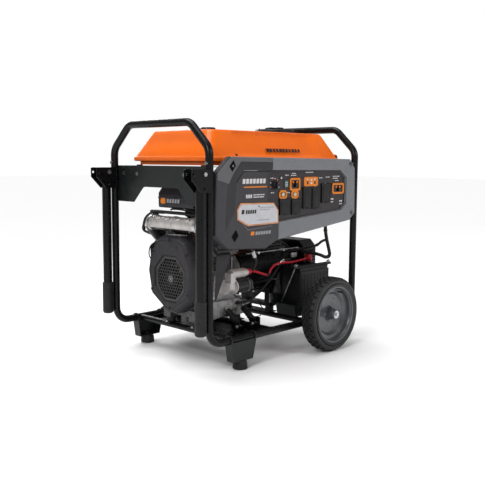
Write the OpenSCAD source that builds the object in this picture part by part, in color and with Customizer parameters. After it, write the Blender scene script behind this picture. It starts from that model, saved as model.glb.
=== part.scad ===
// Portable generator: a twin-cylinder engine and alternator in a two-hoop tube frame.
// +X runs from the engine end to the wheel end, +Y away from the control panel, +Z up.
// The origin is on the floor, under the middle of the whole machine.

/* [Frame] */
// Overall height, to the top of the hoops
frame_h = 1000; // [960:1:1040]
// Distance between the front and the rear hoop, centre to centre
hoop_span = 927; // [915:1:940]
// Width between the upright tubes, centre to centre
frame_w = 602; // [596:1:610]
// Outside diameter of the frame tube
tube_d = 31.75; // [30:0.25:33]
// Wall of the frame tube
tube_wall = 2; // [1.5:0.1:3]
// Height of the centre of the bottom rails
rail_z = 125; // [120:1:130]
// Inset of the top bar's corners across the width
corner_y = 109; // [100:1:115]
// Drop of the top bar's corners
corner_z = 102; // [95:1:110]

/* [Handles] */
// Reach of the handle brackets in front of the front hoop
bracket_reach = 108; // [104:1:112]
// Height of the handle pivots
pivot_z = 785.5; // [780:0.5:790]
// Outside diameter of the handle tube
handle_d = 38; // [36:0.5:38]
// Height of the folded handles' lower end
handle_low_z = 168; // [160:1:180]
// Length of the rubber grips
grip_len = 137; // [120:1:150]
// Outside diameter of the rubber grips
grip_d = 47; // [44:0.5:48]

/* [Wheels] */
// Outside diameter of the tyres
wheel_d = 329; // [320:1:332]
// Width of the tyres
wheel_w = 73; // [66:1:76]
// Distance of the axle behind the front hoop
axle_back = 664; // [655:1:672]
// Diameter of the axle
axle_d = 16; // [15:0.5:18]
// Space between a tyre and the rail's centre line
wheel_gap = 38; // [34:1:42]

/* [Tank] */
// Height of the tank's flat top
tank_top_z = 962; // [955:1:966]
// Height of the tank's welded rim, upper edge
tank_rim_z = 851; // [848:1:854]
// Depth of the rim band
tank_rim_h = 18; // [14:1:20]
// Length of the tank
tank_l = 842; // [830:1:850]
// Width of the tank
tank_w = 498; // [490:1:504]

/* [Control panel] */
// Distance of the panel's face outside the upright tubes' centre line
panel_out = 20; // [18:0.5:22]
// Depth of the recess that holds the outlets
recess = 12; // [10:0.5:14]
// Wall of the panel mouldings
panel_wall = 3; // [2.5:0.1:3.5]

/* [Engine] */
// Height of the crankshaft
crank_z = 344; // [340:1:348]
// Radius of the alternator barrel
alternator_r = 105; // [100:1:106]
// Radius of the fan intake grille
grille_r = 99; // [90:1:102]

/* [Hidden] */
$fn = 64;
tube_r = tube_d / 2;
half_w = frame_w / 2;
// X of the front hoop, placed so that the whole machine is centred on the origin
front_x = bracket_reach - (bracket_reach + hoop_span + tube_r) / 2;
rear_x = front_x + hoop_span;
top_bar_z = frame_h - tube_r;
corner_bend = 62;
rail_joint_x = front_x + 596;
sleeve_len = 70;
handle_r = handle_d / 2;
grip_r = grip_d / 2;
pivot_x = front_x - 44.5;
plate_t = 3;
plate_gap = handle_d + 1;
bolt_r = 5;
lock_r = 53;
button_r = 4.5;
button_face = handle_r - 0.4;
wheel_r = wheel_d / 2;
axle_x = front_x + axle_back;
axle_z = wheel_r;
axle_r = axle_d / 2;
wheel_mid_y = half_w + wheel_gap + wheel_w / 2;
rim_r = 133;
hub_half = 33;
axle_end_y = wheel_mid_y + hub_half + 1;
foot_x = front_x + 171;
foot_h = 36;
foot_r = 31;
panel_y = -half_w - panel_out;
recess_y = panel_y + recess;
tank_x = front_x + 469;
filler_x = front_x + 700;
gauge_x = front_x + 272;
engine_x = front_x + 220;
damper_places = [front_x + 262, front_x + 356];
alternator_x = front_x + 372;
alternator_l = 400;
shaft_r = 15;
rotor_r = 74;
battery_x = front_x + 721;
battery_y = -half_w + 115;
battery_base_z = 196;
battery_h = 158;
battery_half = 55;

// ---------- helpers ----------

function unit(v) = v / norm(v);
// A frame whose Z axis points along w
function side_of(w) = unit(cross(abs(w.z) < 0.9 ? [0, 0, 1] : [1, 0, 0], w));
function columns(u, v, w, p) =
    [[u.x, v.x, w.x, p.x], [u.y, v.y, w.y, p.y], [u.z, v.z, w.z, p.z], [0, 0, 0, 1]];
function along(w, p) = columns(side_of(w), cross(w, side_of(w)), w, p);
// Length that a bend of radius bend_r takes off each leg at corner i of a path
function corner_angle(path, i) =
    acos(unit(path[i] - path[i - 1]) * unit(path[i + 1] - path[i]));
function trim(path, i, bend_r) =
    i == 0 || i == len(path) - 1 ? 0 : bend_r * tan(corner_angle(path, i) / 2);

// A box between two opposite corners
module block(low, high) {
    translate(low) cube(high - low);
}

// A round bar from a to b
module bar(a, b, r) {
    multmatrix(along(unit(b - a), a)) cylinder(r = r, h = norm(b - a));
}

// A bent tube or bar that follows a path, with round bends at its corners; wall 0 is solid.
// A bend is a hair thinner than its legs and enters each of them by one degree of its arc.
module bent_tube(path, bend_r, r, wall = 0) {
    lap = 1;
    thin = 0.15;
    for (i = [0:len(path) - 2]) {
        d = unit(path[i + 1] - path[i]);
        a = path[i] + d * trim(path, i, bend_r);
        b = path[i + 1] - d * trim(path, i + 1, bend_r);
        multmatrix(along(d, a)) linear_extrude(norm(b - a)) tube_section(r, wall);
    }
    for (i = [1:1:len(path) - 2]) {
        d = unit(path[i] - path[i - 1]);
        n = unit(cross(d, path[i + 1] - path[i]));
        inward = cross(n, d);
        centre = path[i] - d * trim(path, i, bend_r) + inward * bend_r;
        multmatrix(columns(-inward, d, n, centre)) rotate([0, 0, -lap])
            rotate_extrude(angle = corner_angle(path, i) + 2 * lap)
                translate([bend_r, 0]) tube_section(r - thin, wall > 0 ? wall - 2 * thin : 0);
    }
}

module tube_section(r, wall) {
    difference() {
        circle(r);
        if (wall > 0) circle(r - wall);
    }
}

// A flat shape in X (behind the front hoop) and Z, made solid between two values of Y
module upright_sheet(y_low, y_high) {
    translate([front_x, y_high, 0]) rotate([90, 0, 0]) linear_extrude(y_high - y_low) children();
}

// A flat shape in Y and Z, made solid between two values of X
module cross_sheet(x_low, x_high) {
    translate([x_low, 0, 0]) rotate([90, 0, 90]) linear_extrude(x_high - x_low) children();
}

// A square with rounded corners, centred
module round_square(l, w, r) {
    hull() for (x = [-1, 1], y = [-1, 1])
        translate([x * (l / 2 - r), y * (w / 2 - r)]) circle(r, $fn = 32);
}

// The same thing on both sides of the machine, mirrored
module both_sides() {
    children();
    mirror([0, 1, 0]) children();
}

module hex_head(r, h) {
    cylinder(r = r, h = h, $fn = 6);
}

// ---------- frame ----------

// Centre line of one hoop: half rail, upright, corner, top bar, and down again
function hoop_path(hoop_x, rail_end_x) = [
    [rail_end_x, -half_w, rail_z],
    [hoop_x, -half_w, rail_z],
    [hoop_x, -half_w, top_bar_z - corner_z],
    [hoop_x, -half_w + corner_y, top_bar_z],
    [hoop_x, half_w - corner_y, top_bar_z],
    [hoop_x, half_w, top_bar_z - corner_z],
    [hoop_x, half_w, rail_z],
    [rail_end_x, half_w, rail_z]];

module front_hoop() {
    color("#2c2e31")
        bent_tube(hoop_path(front_x, rail_joint_x), corner_bend, tube_r, tube_wall);
}

// The rear hoop carries the swaged spigots that slide into the front hoop's rails
module rear_hoop() {
    spigot_r = tube_r - tube_wall - 0.05;
    color("#2c2e31") {
        bent_tube(hoop_path(rear_x, rail_joint_x), corner_bend, tube_r, tube_wall);
        both_sides() translate([rail_joint_x - sleeve_len, half_w, rail_z])
            rotate([0, 90, 0]) {
                linear_extrude(sleeve_len + 12) tube_section(spigot_r, tube_wall);
                // plug weld that joins the spigot to its own rail
                translate([0, 0, sleeve_len + 2]) linear_extrude(8)
                    tube_section(tube_r - 0.5, tube_wall);
            }
    }
}

// Cross tubes with the pressed pan and the mounting pads that carry engine and alternator
module engine_cradle() {
    reach = half_w - 8;
    color("#26282b") {
        // the ends are coped to the rails
        difference() {
            for (x = [front_x + 132, front_x + 366, front_x + 600])
                translate([x, -reach, rail_z]) rotate([-90, 0, 0])
                    linear_extrude(2 * reach) tube_section(13, 2);
            both_sides() translate([front_x, half_w, rail_z]) rotate([0, 90, 0])
                cylinder(r = tube_r + 0.05, h = hoop_span);
        }
        // pressed pan under the engine
        block([front_x + 132, -262, 113.5], [front_x + 366, 262, 116.5]);
        both_sides() block([front_x + 149, 259, 113.5], [front_x + 349, 262, 132]);
        // cheeks that hold the lower ends of the side dampers
        both_sides() for (x = damper_places, s = [-1, 1])
            block([x + min(s * 15, s * 18), 190, 115], [x + max(s * 15, s * 18), 222, 168]);
        // pads for the rubber mounts
        for (x = [front_x + 132, front_x + 366], y = [-82, 82])
            block([x - 30, y - 24, 137], [x + 30, y + 24, 141]);
        block([front_x + 575, -95, 137], [front_x + 625, 95, 141]);
    }
}

// Sheet between the uprights: it carries the tank and closes the end under it
module end_sheet(x, flange_to) {
    low = 726;
    outline = [[-half_w + 9, 814], [-half_w + 9, 660], [-half_w + 125, 660],
        [-half_w + 187, 722], [-half_w + 200, low], [half_w - 200, low], [half_w - 187, 722],
        [half_w - 125, 660], [half_w - 9, 660], [half_w - 9, 814]];
    difference() {
        union() {
            cross_sheet(x, x + 2.5) polygon(outline);
            block([min(x, flange_to), -half_w + 24, 811.5], [max(x + 2.5, flange_to),
                half_w - 24, 814]);
        }
        both_sides() translate([x < 0 ? front_x : rear_x, half_w, 600])
            cylinder(r = tube_r, h = 300);
        both_sides() for (bolt_y = [half_w - 55, half_w - 150])
            translate([x - 30, bolt_y, 780]) rotate([0, 90, 0]) cylinder(r = 4.5, h = 60);
        both_sides() translate([x < 0 ? front_x + 62 : rear_x - 62, 205, 800])
            cylinder(r = 6, h = 30);
    }
}

module front_end_panel() {
    color("#33363a") end_sheet(front_x + 7, front_x + 80);
}

module rear_end_panel() {
    color("#33363a") end_sheet(rear_x - 9.5, rear_x - 80);
}

// ---------- handles ----------

// Where the lock holes are, around the pivot: folded below it, extended in front of it
lock_places = [[0, -lock_r], [-lock_r, 0]];

module handle_bracket(side) {
    y = side * half_w;
    nose = front_x - bracket_reach;
    outline = [[nose, 803], [nose, 765], [front_x - 60, 717], [front_x - 4, 717],
        [front_x - 4, 805], [nose + 6, 805]];
    color("#2a2c2f") difference() {
        union() {
            for (s = [-1, 1])
                translate([0, y + s * (plate_gap + plate_t) / 2 + plate_t / 2, 0])
                    rotate([90, 0, 0]) linear_extrude(plate_t) polygon(outline);
            // web and spacers against the upright tube
            block([front_x - tube_r - 3, y - plate_gap / 2 - 0.5, 719],
                [front_x - 6, y + plate_gap / 2 + 0.5, 803]);
        }
        translate([front_x, y, 700]) cylinder(r = tube_r, h = 120);
        translate([pivot_x, y - 40, pivot_z]) rotate([-90, 0, 0]) cylinder(r = bolt_r + 0.05, h = 80);
        for (place = lock_places)
            translate([pivot_x + place.x, y - 40, pivot_z + place.y]) rotate([-90, 0, 0])
                cylinder(r = button_r + 0.5, h = 80);
    }
}

module handle_bracket_left() { handle_bracket(-1); }
module handle_bracket_right() { handle_bracket(1); }

module handle(side) {
    y = side * half_w;
    top = pivot_z + 14;
    color("#303236") difference() {
        union() {
            translate([pivot_x, y, handle_low_z + 4]) linear_extrude(top - handle_low_z - 4)
                tube_section(handle_r, 2);
            // bushing that the pivot bolt turns in
            intersection() {
                translate([pivot_x, y - handle_r, pivot_z]) rotate([-90, 0, 0])
                    cylinder(r = bolt_r + 4, h = handle_d);
                translate([pivot_x, y, pivot_z - 20]) cylinder(r = handle_r, h = 40);
            }
            translate([pivot_x, y, top - 3]) cylinder(r = handle_r - 1, h = 3);
        }
        translate([pivot_x, y - 40, pivot_z]) rotate([-90, 0, 0]) cylinder(r = bolt_r + 0.05, h = 80);
        translate([pivot_x, y, pivot_z - lock_r]) rotate([side * 90, 0, 0])
            cylinder(r = button_r + 0.1, h = 40);
    }
}

module handle_left() { handle(-1); }
module handle_right() { handle(1); }

// Rubber grip: a closed sleeve with shallow rings
module handle_grip(side) {
    top = handle_low_z + grip_len;
    color("#1d1e20") translate([pivot_x, side * half_w, 0]) rotate_extrude()
        difference() {
            polygon([[0, handle_low_z], [grip_r - 5, handle_low_z], [grip_r, handle_low_z + 6],
                [grip_r, top - 4], [grip_r - 2.5, top], [handle_r, top],
                [handle_r, handle_low_z + 4], [0, handle_low_z + 4]]);
            for (i = [0:8])
                translate([grip_r, handle_low_z + 16 + i * 13]) circle(0.9, $fn = 16);
        }
}

module handle_grip_left() { handle_grip(-1); }
module handle_grip_right() { handle_grip(1); }

// Bolts that the handles and the wheels turn on or are held by
module pivot_bolts() {
    reach = plate_gap / 2 + plate_t;
    both_sides() translate([pivot_x, half_w, pivot_z]) rotate([90, 0, 0]) color("silver") {
        translate([0, 0, -reach - 3]) cylinder(r = bolt_r, h = 2 * reach + 3);
        translate([0, 0, reach]) cylinder(r = 9, h = 4);
        translate([0, 0, -reach - 7]) hex_head(8.5, 7);
    }
    // cap screws and washers in the axle's ends
    both_sides() translate([axle_x, axle_end_y, axle_z]) rotate([-90, 0, 0]) color("silver") {
        translate([0, 0, -16]) cylinder(r = 4, h = 17);
        cylinder(r = 17, h = 2.5);
        translate([0, 0, 2.5]) hex_head(8.5, 6);
    }
}

// Spring-loaded lock button inside the handle tube; it faces the middle of the machine
module snap_button(side) {
    color("silver") translate([pivot_x, side * half_w, pivot_z - lock_r]) rotate([side * 90, 0, 0]) {
        translate([0, 0, 9]) cylinder(r = button_r, h = button_face - 9 - 1);
        translate([0, 0, button_face - 1]) cylinder(r1 = button_r, r2 = button_r - 1, h = 1);
        translate([0, 0, 7]) cylinder(r = 7, h = 2);
    }
}

module snap_button_left() { snap_button(-1); }
module snap_button_right() { snap_button(1); }

// ---------- feet and wheels ----------

// Tapered sheet bracket under the rail, open towards the middle
module foot_brackets() {
    t = 4;
    out_y = half_w + 20;
    in_y = half_w - 20;
    face = [[103, 118], [116, foot_h], [226, foot_h], [247, 118]];
    color("#36393d") both_sides() difference() {
        union() {
            upright_sheet(out_y - t, out_y) polygon(face);
            upright_sheet(in_y, out_y) polygon([face[0], face[1], face[1] + [t, 0], face[0] + [t, 0]]);
            upright_sheet(in_y, out_y) polygon([face[3], face[2], face[2] - [t, 0], face[3] - [t, 0]]);
            block([front_x + 116, in_y, foot_h], [front_x + 226, out_y, foot_h + t]);
            // saddle strap around the rail
            for (x = [103, 240]) translate([front_x + x, half_w, rail_z]) rotate([0, 90, 0])
                cylinder(r = tube_r + 5, h = 7);
        }
        translate([front_x + 60, half_w, rail_z]) rotate([0, 90, 0]) cylinder(r = tube_r, h = 230);
        translate([foot_x, half_w, foot_h - 2]) cylinder(r = 5.1, h = 12);
    }
}

module rubber_feet() {
    color("#1b1c1e") both_sides() translate([foot_x, half_w, 0]) {
        rotate_extrude() polygon([[0, 10], [8, 10], [8, 0], [foot_r - 4, 0], [foot_r, 4],
            [foot_r - 2, foot_h - 8], [foot_r - 5, foot_h], [0, foot_h]]);
        translate([0, 0, foot_h]) cylinder(r = 5, h = 5);
        translate([0, 0, foot_h + 4]) hex_head(8.5, 6);
    }
}

module axle() {
    color("#9a9da1") difference() {
        translate([axle_x, -axle_end_y, axle_z]) rotate([-90, 0, 0])
            cylinder(r = axle_r, h = 2 * axle_end_y);
        both_sides() translate([axle_x, axle_end_y + 1, axle_z]) rotate([90, 0, 0])
            cylinder(r = 4, h = 17);
    }
}

// Saddles on the rails that hold the axle
module axle_brackets() {
    color("#2a2c2f") both_sides() difference() {
        union() {
            for (y = [half_w - 19, half_w + 16])
                upright_sheet(y, y + 3)
                    polygon([[axle_back - 46, 112], [axle_back - 46, 140], [axle_back - 17, 182],
                        [axle_back + 17, 182], [axle_back + 46, 140], [axle_back + 46, 112]]);
            block([axle_x - 46, half_w - 17, 136], [axle_x + 46, half_w + 17, 143.9]);
            translate([axle_x, half_w - 19, axle_z]) rotate([-90, 0, 0])
                cylinder(r = axle_r + 5, h = 51);
        }
        translate([axle_x - 60, half_w, rail_z]) rotate([0, 90, 0]) cylinder(r = tube_r, h = 120);
        translate([axle_x, half_w - 40, axle_z]) rotate([-90, 0, 0]) cylinder(r = axle_r, h = 90);
    }
}

// Tyre section: radius against offset across the wheel
module tire(side) {
    h = wheel_w / 2;
    color("#242527") translate([axle_x, side * wheel_mid_y, axle_z]) rotate([90, 0, 0])
        difference() {
            rotate_extrude($fn = 128) difference() {
                polygon([[118, -h + 10], [rim_r + 1, -h + 4], [wheel_r - 16, -h], [wheel_r - 5, -h + 5],
                    [wheel_r, -h + 14], [wheel_r, h - 14], [wheel_r - 5, h - 5],
                    [wheel_r - 16, h], [rim_r + 1, h - 4], [118, h - 10]]);
                translate([wheel_r, 0]) square([4, 5], center = true);
                polygon([[117, -h + 14], [wheel_r - 18, -h + 9], [wheel_r - 9, -h + 16],
                    [wheel_r - 9, h - 16], [wheel_r - 18, h - 9], [117, h - 14]]);
            }
        }
}

module tire_left() { tire(-1); }
module tire_right() { tire(1); }

// Rim with a stepped dish and a hub; the dish is open towards the outside
module rim(side) {
    h = wheel_w / 2;
    color("#9b9ea3") translate([axle_x, side * wheel_mid_y, axle_z]) rotate([-side * 90, 0, 0])
        difference() {
            rotate_extrude($fn = 128) {
                // the outside of the wheel is at positive offset
                polygon([[rim_r, h - 1.5], [rim_r, h - 4], [118, h - 9.8], [116, h - 14],
                    [116, -h + 14], [118, -h + 9.8], [rim_r, -h + 4],
                    [rim_r, -h + 1.5], [116, -h + 6.5], [113.5, -h + 12], [113, -4], [88, -9],
                    [60, -14], [34, -12], [24, -hub_half],
                    [axle_r + 0.05, -hub_half], [axle_r + 0.05, hub_half], [19, hub_half],
                    [22, hub_half - 4], [26, 2], [34, -8], [60, -10], [86, -5], [98, 8],
                    [112, 10], [114, 22], [117, h - 7], [124, h - 1.5]]);
            }
            for (i = [0:5]) rotate([0, 0, i * 60]) translate([74, 0, -30]) cylinder(r = 5, h = 40);
        }
}

module rim_left() { rim(-1); }
module rim_right() { rim(1); }

// ---------- fuel tank ----------

// The tank's rounded loaf; shrink makes the inside
module tank_body(shrink) {
    rim_low = tank_rim_z - tank_rim_h;
    slope = 67;
    hull() {
        translate([tank_x, 0, tank_rim_z]) linear_extrude(0.5)
            round_square(tank_l - 2 * shrink, tank_w - 2 * shrink, 34 - shrink);
        translate([tank_x, 0, tank_top_z - 0.5 - shrink]) linear_extrude(0.5)
            round_square(tank_l - 2 * slope - 2 * shrink, tank_w - 2 * slope + 6 - 2 * shrink,
                26 - shrink);
    }
    translate([tank_x, 0, rim_low + shrink * 0.5]) linear_extrude(tank_rim_z - rim_low)
        round_square(tank_l - 2 * shrink, tank_w - 2 * shrink, 34 - shrink);
    // the tub under the rim
    translate([tank_x, 0, 818 + shrink]) linear_extrude(tank_rim_z - 818)
        round_square(tank_l - 40 - 2 * shrink, tank_w - 36 - 2 * shrink, 34 - shrink);
}

module fuel_tank() {
    color("#ee6c1b") difference() {
        tank_body(0);
        tank_body(2);
        translate([filler_x, 0, tank_top_z - 20]) cylinder(r = 36, h = 40);
        translate([gauge_x, 0, tank_top_z - 20]) cylinder(r = 22, h = 40);
    }
}

// Splash dish and threaded neck in the top of the tank
module filler_neck() {
    z = tank_top_z;
    color("#2b2c2e") translate([filler_x, 0, 0]) rotate_extrude()
        polygon([[30, z - 28], [35.8, z - 28], [35.8, z], [94, z], [95, z + 6], [91, z + 17],
            [84, z + 21], [70, z + 21], [64, z + 16], [60, z + 5], [40, z + 5], [36, z + 13],
            [30, z + 13]]);
}

// Ribbed screw cap
module fuel_cap() {
    z = tank_top_z + 14.3;
    color("#1e1f21") translate([filler_x, 0, 0]) difference() {
        union() {
            translate([0, 0, z - 6]) cylinder(r = 45, h = 17);
            translate([0, 0, z + 11]) cylinder(r1 = 45, r2 = 40, h = 5);
            translate([0, 0, z - 30]) cylinder(r = 29.7, h = 30);
        }
        translate([0, 0, z - 7]) difference() {
            cylinder(r = 41, h = 7);
            cylinder(r = 29.7, h = 7);
        }
        for (i = [0:23]) rotate([0, 0, i * 15]) {
            translate([46.5, 0, z - 8]) cylinder(r = 2.6, h = 22, $fn = 16);
        }
        // a grip bar stands in the middle of the cap
        for (s = [-1, 1]) translate([-45, s * 21 - 13, z + 10]) cube([90, 26, 8]);
    }
}

// Dial gauge let into the tank's top
module fuel_gauge() {
    z = tank_top_z;
    color("#24262a") translate([gauge_x, 0, 0]) {
        translate([0, 0, z - 60]) cylinder(r = 4, h = 60);
        translate([0, 0, z - 8]) cylinder(r = 21.8, h = 8);
        translate([0, 0, z]) cylinder(r = 33, h = 11);
        translate([0, 0, z + 11]) cylinder(r1 = 33, r2 = 29, h = 5);
    }
}

// Screws of the sheet panels, the tank and the control panel
module panel_fasteners() {
    color("#4a4d52") {
        for (x = [front_x + 7, rear_x - 7]) {
            s = x < 0 ? -1 : 1;
            both_sides() for (y = [half_w - 55, half_w - 150])
                translate([x, y, 780]) rotate([0, s * 90, 0]) {
                    translate([0, 0, -8]) cylinder(r = 4, h = 8);
                    cylinder(r = 8, h = 3.5);
                }
        }
        // screws through the hoops, just under the tank
        both_sides() for (x = [front_x, rear_x]) difference() {
            translate([x, half_w, 826]) rotate([0, -90, 0]) cylinder(r = 7, h = tube_r + 4);
            translate([x, half_w, 800]) cylinder(r = tube_r + 0.02, h = 50);
        }
        // tank bolts that stand in the rubber bushings
        both_sides() for (x = [front_x + 62, rear_x - 62]) translate([x, 205, 0]) {
            translate([0, 0, 796]) cylinder(r = 4, h = 22);
            translate([0, 0, 790]) hex_head(7.5, 6);
        }
        // screws of the control panel, in their diamond-shaped seats
        for (place = panel_screws)
            translate([front_x + place.x, panel_y + 1.5, place.y]) rotate([90, 0, 0]) {
                cylinder(r = 7, h = 3);
                translate([0, 0, -12]) cylinder(r = 3, h = 12);
            }
    }
}

panel_screws = [[103, 817], [119, 545], [870, 826], [884, 600]];

// ---------- control panel ----------
// Outlines are X behind the front hoop against height.

bezel_outline = [[22, 794], [95, 853], [871, 847], [908, 806], [914, 597], [875, 566],
    [376, 510.5], [376, 588], [803, 619], [841, 646], [841, 761], [797, 795], [166, 799],
    [128, 755], [97, 747], [22, 790]];
cover_outline = [[22, 789.5], [97, 746.5], [127.5, 754.5], [166, 798.5], [317.5, 797],
    [317.5, 587.5], [375.5, 587.5], [375.5, 511], [372, 510], [298, 479], [81, 495], [19, 552]];
plate_outline = [[318.5, 796], [796, 794], [840, 760], [840, 647], [802, 620], [376, 589],
    [318.5, 588.5]];
// Each outlet: left edge, low edge, width and height of its cover
outlets = [[388, 614, 65, 66], [464, 613, 58, 64], [539, 634, 54, 92], [601, 631, 51, 94],
    [667, 655, 64, 84]];
button_places = [[410, 698], [487, 696]];
toggle_places = [[486, 740], [788, 714]];
knob_place = [361, 738];
display_place = [431, 741];

module cut_through(place, r) {
    translate([front_x + place.x, panel_y - 5, place.y]) rotate([-90, 0, 0]) cylinder(r = r, h = 60);
}

// Light grey frame of the control panel, with a skirt behind its edge
module control_bezel() {
    color("#a4a7ab") difference() {
        union() {
            upright_sheet(panel_y, panel_y + panel_wall) polygon(bezel_outline);
            upright_sheet(panel_y + panel_wall, panel_y + 26) difference() {
                offset(delta = -8) polygon(bezel_outline);
                offset(delta = -11) polygon(bezel_outline);
            }
        }
        for (place = panel_screws) translate([front_x + place.x, panel_y - 1, place.y])
            rotate([-90, 45, 0]) linear_extrude(2.5) square(24, center = true);
        for (place = panel_screws) cut_through(place, 3.2);
    }
}

// Dark cover at the engine end of the control panel; it wraps under the bezel
module lower_cover() {
    color("#4d4f53") difference() {
        union() {
            upright_sheet(panel_y, panel_y + panel_wall) polygon(cover_outline);
            upright_sheet(panel_y + panel_wall, panel_y + 30) difference() {
                offset(delta = -6) polygon(cover_outline);
                offset(delta = -9) polygon(cover_outline);
            }
        }
        // shallow field for the notice plate and the printing
        upright_sheet(panel_y - 1, panel_y + 1.2)
            polygon([[136, 752], [172, 790], [311, 789], [311, 600], [200, 574], [136, 606]]);
        translate([front_x + 119, panel_y - 1, 545]) rotate([-90, 45, 0])
            linear_extrude(2.5) square(24, center = true);
        cut_through(panel_screws[1], 3.2);
    }
}

// Recessed plate that carries the outlets, the breakers and the start switch
module outlet_plate() {
    color("#55585c") difference() {
        union() {
            upright_sheet(recess_y, recess_y + 2.5) offset(delta = 4) polygon(plate_outline);
            // walls that close the recess, up to the back of the bezel
            upright_sheet(panel_y + panel_wall + 0.05, recess_y + 1) difference() {
                offset(delta = 4) polygon(plate_outline);
                offset(delta = 2) polygon(plate_outline);
            }
            // raised frames around the breakers and the display
            for (place = toggle_places) upright_sheet(recess_y - 2, recess_y)
                translate(place) square([58, 48], center = true);
            for (place = button_places) upright_sheet(recess_y - 1.5, recess_y)
                translate(place) square([42, 36], center = true);
            upright_sheet(recess_y - 1.5, recess_y) translate([595, 749]) square([94, 38], center = true);
            upright_sheet(recess_y - 3, recess_y) translate(display_place) square([26, 34], center = true);
            cut_ring(knob_place, 19, 2);
        }
        for (place = toggle_places) translate([front_x + place.x - 9, recess_y - 5, place.y - 13])
            cube([18, 12, 26]);
        for (place = button_places) cut_through(place, 9.1);
        cut_through(knob_place, 6.1);
        for (o = outlets) translate([front_x + o.x + 6, recess_y - 5, o.y + 6])
            cube([o[2] - 12, 12, o[3] - 18]);
    }
}

// A flat washer-like ring that stands out from the outlet plate
module cut_ring(place, r, h) {
    translate([front_x + place.x, recess_y, place.y]) rotate([90, 0, 0]) cylinder(r = r, h = h);
}

// Sheet box behind the outlets, open towards the plate
module control_box() {
    t = 1.5;
    color("#2e3033") difference() {
        upright_sheet(recess_y + 2.5, recess_y + 108)
            polygon([[326, 788], [792, 786], [832, 756], [832, 650], [798, 626], [380, 596],
                [326, 596]]);
        upright_sheet(recess_y, recess_y + 108 - t)
            polygon([[328, 786], [791, 784], [830, 755], [830, 651], [797, 628], [380, 598],
                [328, 598]]);
        // cable entries
        for (x = [420, 560, 775]) translate([front_x + x, recess_y + 60, 560])
            cylinder(r = 13, h = 120);
    }
}

// Socket bodies with face frames and the lugs that carry the flaps
module receptacles() {
    lug = 3;
    color("#1f2022") for (o = outlets) {
        x = front_x + o.x;
        top = o.y + o[3];
        difference() {
            union() {
                block([x, recess_y - 2.2, o.y], [x + o[2], recess_y, top]);
                block([x + 6.2, recess_y, o.y + 6.2], [x + o[2] - 6.2, recess_y + 34, top - 12.2]);
                for (lug_x = [x - lug, x + o[2]])
                    block([lug_x, recess_y - 8, top - 6], [lug_x + lug, recess_y, top]);
            }
            translate([x - 10, recess_y - 5, top - 3]) rotate([0, 90, 0])
                cylinder(r = 1.55, h = o[2] + 20);
            // blade slots and the round earth hole
            for (s = [-1, 1]) translate([x + o[2] / 2 + s * 8 - 1.5, recess_y - 3, o.y + 22])
                cube([3, 16, 12]);
            translate([x + o[2] / 2, recess_y - 3, o.y + 15]) rotate([-90, 0, 0])
                cylinder(r = 3, h = 16);
        }
    }
}

// Sprung weather flap with its hinge barrel along the top edge
module outlet_cover(i) {
    o = outlets[i];
    x = front_x + o.x;
    hinge_y = recess_y - 5;
    hinge_z = o.y + o[3] - 3;
    gap = 0.3;
    color("#17181a") {
        difference() {
            block([x + gap, recess_y - 7.5, o.y - 2], [x + o[2] - gap, recess_y - 2.5, hinge_z]);
            // finger scoop at the lower edge and a rib field
            translate([x + o[2] / 2, recess_y - 8.5, o.y - 2]) rotate([-90, 0, 0])
                cylinder(r = 7, h = 2.5);
            for (k = [-1, 1]) translate([x + o[2] / 2 + k * (o[2] / 2 - 8) - 1, recess_y - 8, o.y + 8])
                cube([2, 1.5, o[3] - 26]);
        }
        translate([x + gap, hinge_y, hinge_z]) rotate([0, 90, 0]) cylinder(r = 2.6, h = o[2] - 2 * gap);
        translate([x - 2.8, hinge_y, hinge_z]) rotate([0, 90, 0]) cylinder(r = 1.5, h = o[2] + 5.6);
    }
}

module outlet_cover_1() { outlet_cover(0); }
module outlet_cover_2() { outlet_cover(1); }
module outlet_cover_3() { outlet_cover(2); }
module outlet_cover_4() { outlet_cover(3); }
module outlet_cover_5() { outlet_cover(4); }

// Push-to-reset button of a small breaker
module breaker_button(i) {
    place = button_places[i];
    color("#e9e6df") translate([front_x + place.x, recess_y + 6, place.y]) rotate([90, 0, 0]) {
        cylinder(r = 9, h = 11.5);
        translate([0, 0, 11.5]) cylinder(r1 = 9, r2 = 7.5, h = 1.5);
        translate([0, 0, -3]) cylinder(r = 11, h = 3);
    }
}

module breaker_button_1() { breaker_button(0); }
module breaker_button_2() { breaker_button(1); }

// Toggle of a breaker: a shaft across the slot with a flat lever
module breaker_toggle(i) {
    place = toggle_places[i];
    color("#1a1b1d") translate([front_x + place.x, recess_y + 4, place.y]) {
        translate([-8.5, 0, 0]) rotate([0, 90, 0]) cylinder(r = 5, h = 17);
        translate([-5, -15, -3.5]) cube([10, 15, 7]);
        translate([-5, -15, 0]) rotate([0, 90, 0]) cylinder(r = 3.5, h = 10);
    }
}

module breaker_toggle_1() { breaker_toggle(0); }
module breaker_toggle_2() { breaker_toggle(1); }

// Rotary start switch with a pointer bar
module start_switch_knob() {
    color("#d7d8da") translate([front_x + knob_place.x, recess_y - 2.3, knob_place.y])
        rotate([90, 0, 0]) {
            cylinder(r = 15, h = 4);
            translate([0, 0, 4]) cylinder(r1 = 14, r2 = 12.5, h = 3);
            translate([-4, -13, 4]) cube([8, 26, 11]);
            translate([0, 0, -20]) cylinder(r = 6, h = 20);
        }
}

// ---------- engine ----------

// Both cylinders of the V: they lean 45 degrees out, one behind the other
module each_cylinder() {
    for (side = [-1, 1])
        translate([engine_x + side * 22, 0, crank_z]) rotate([-side * 45, 0, 0]) children();
}

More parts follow.
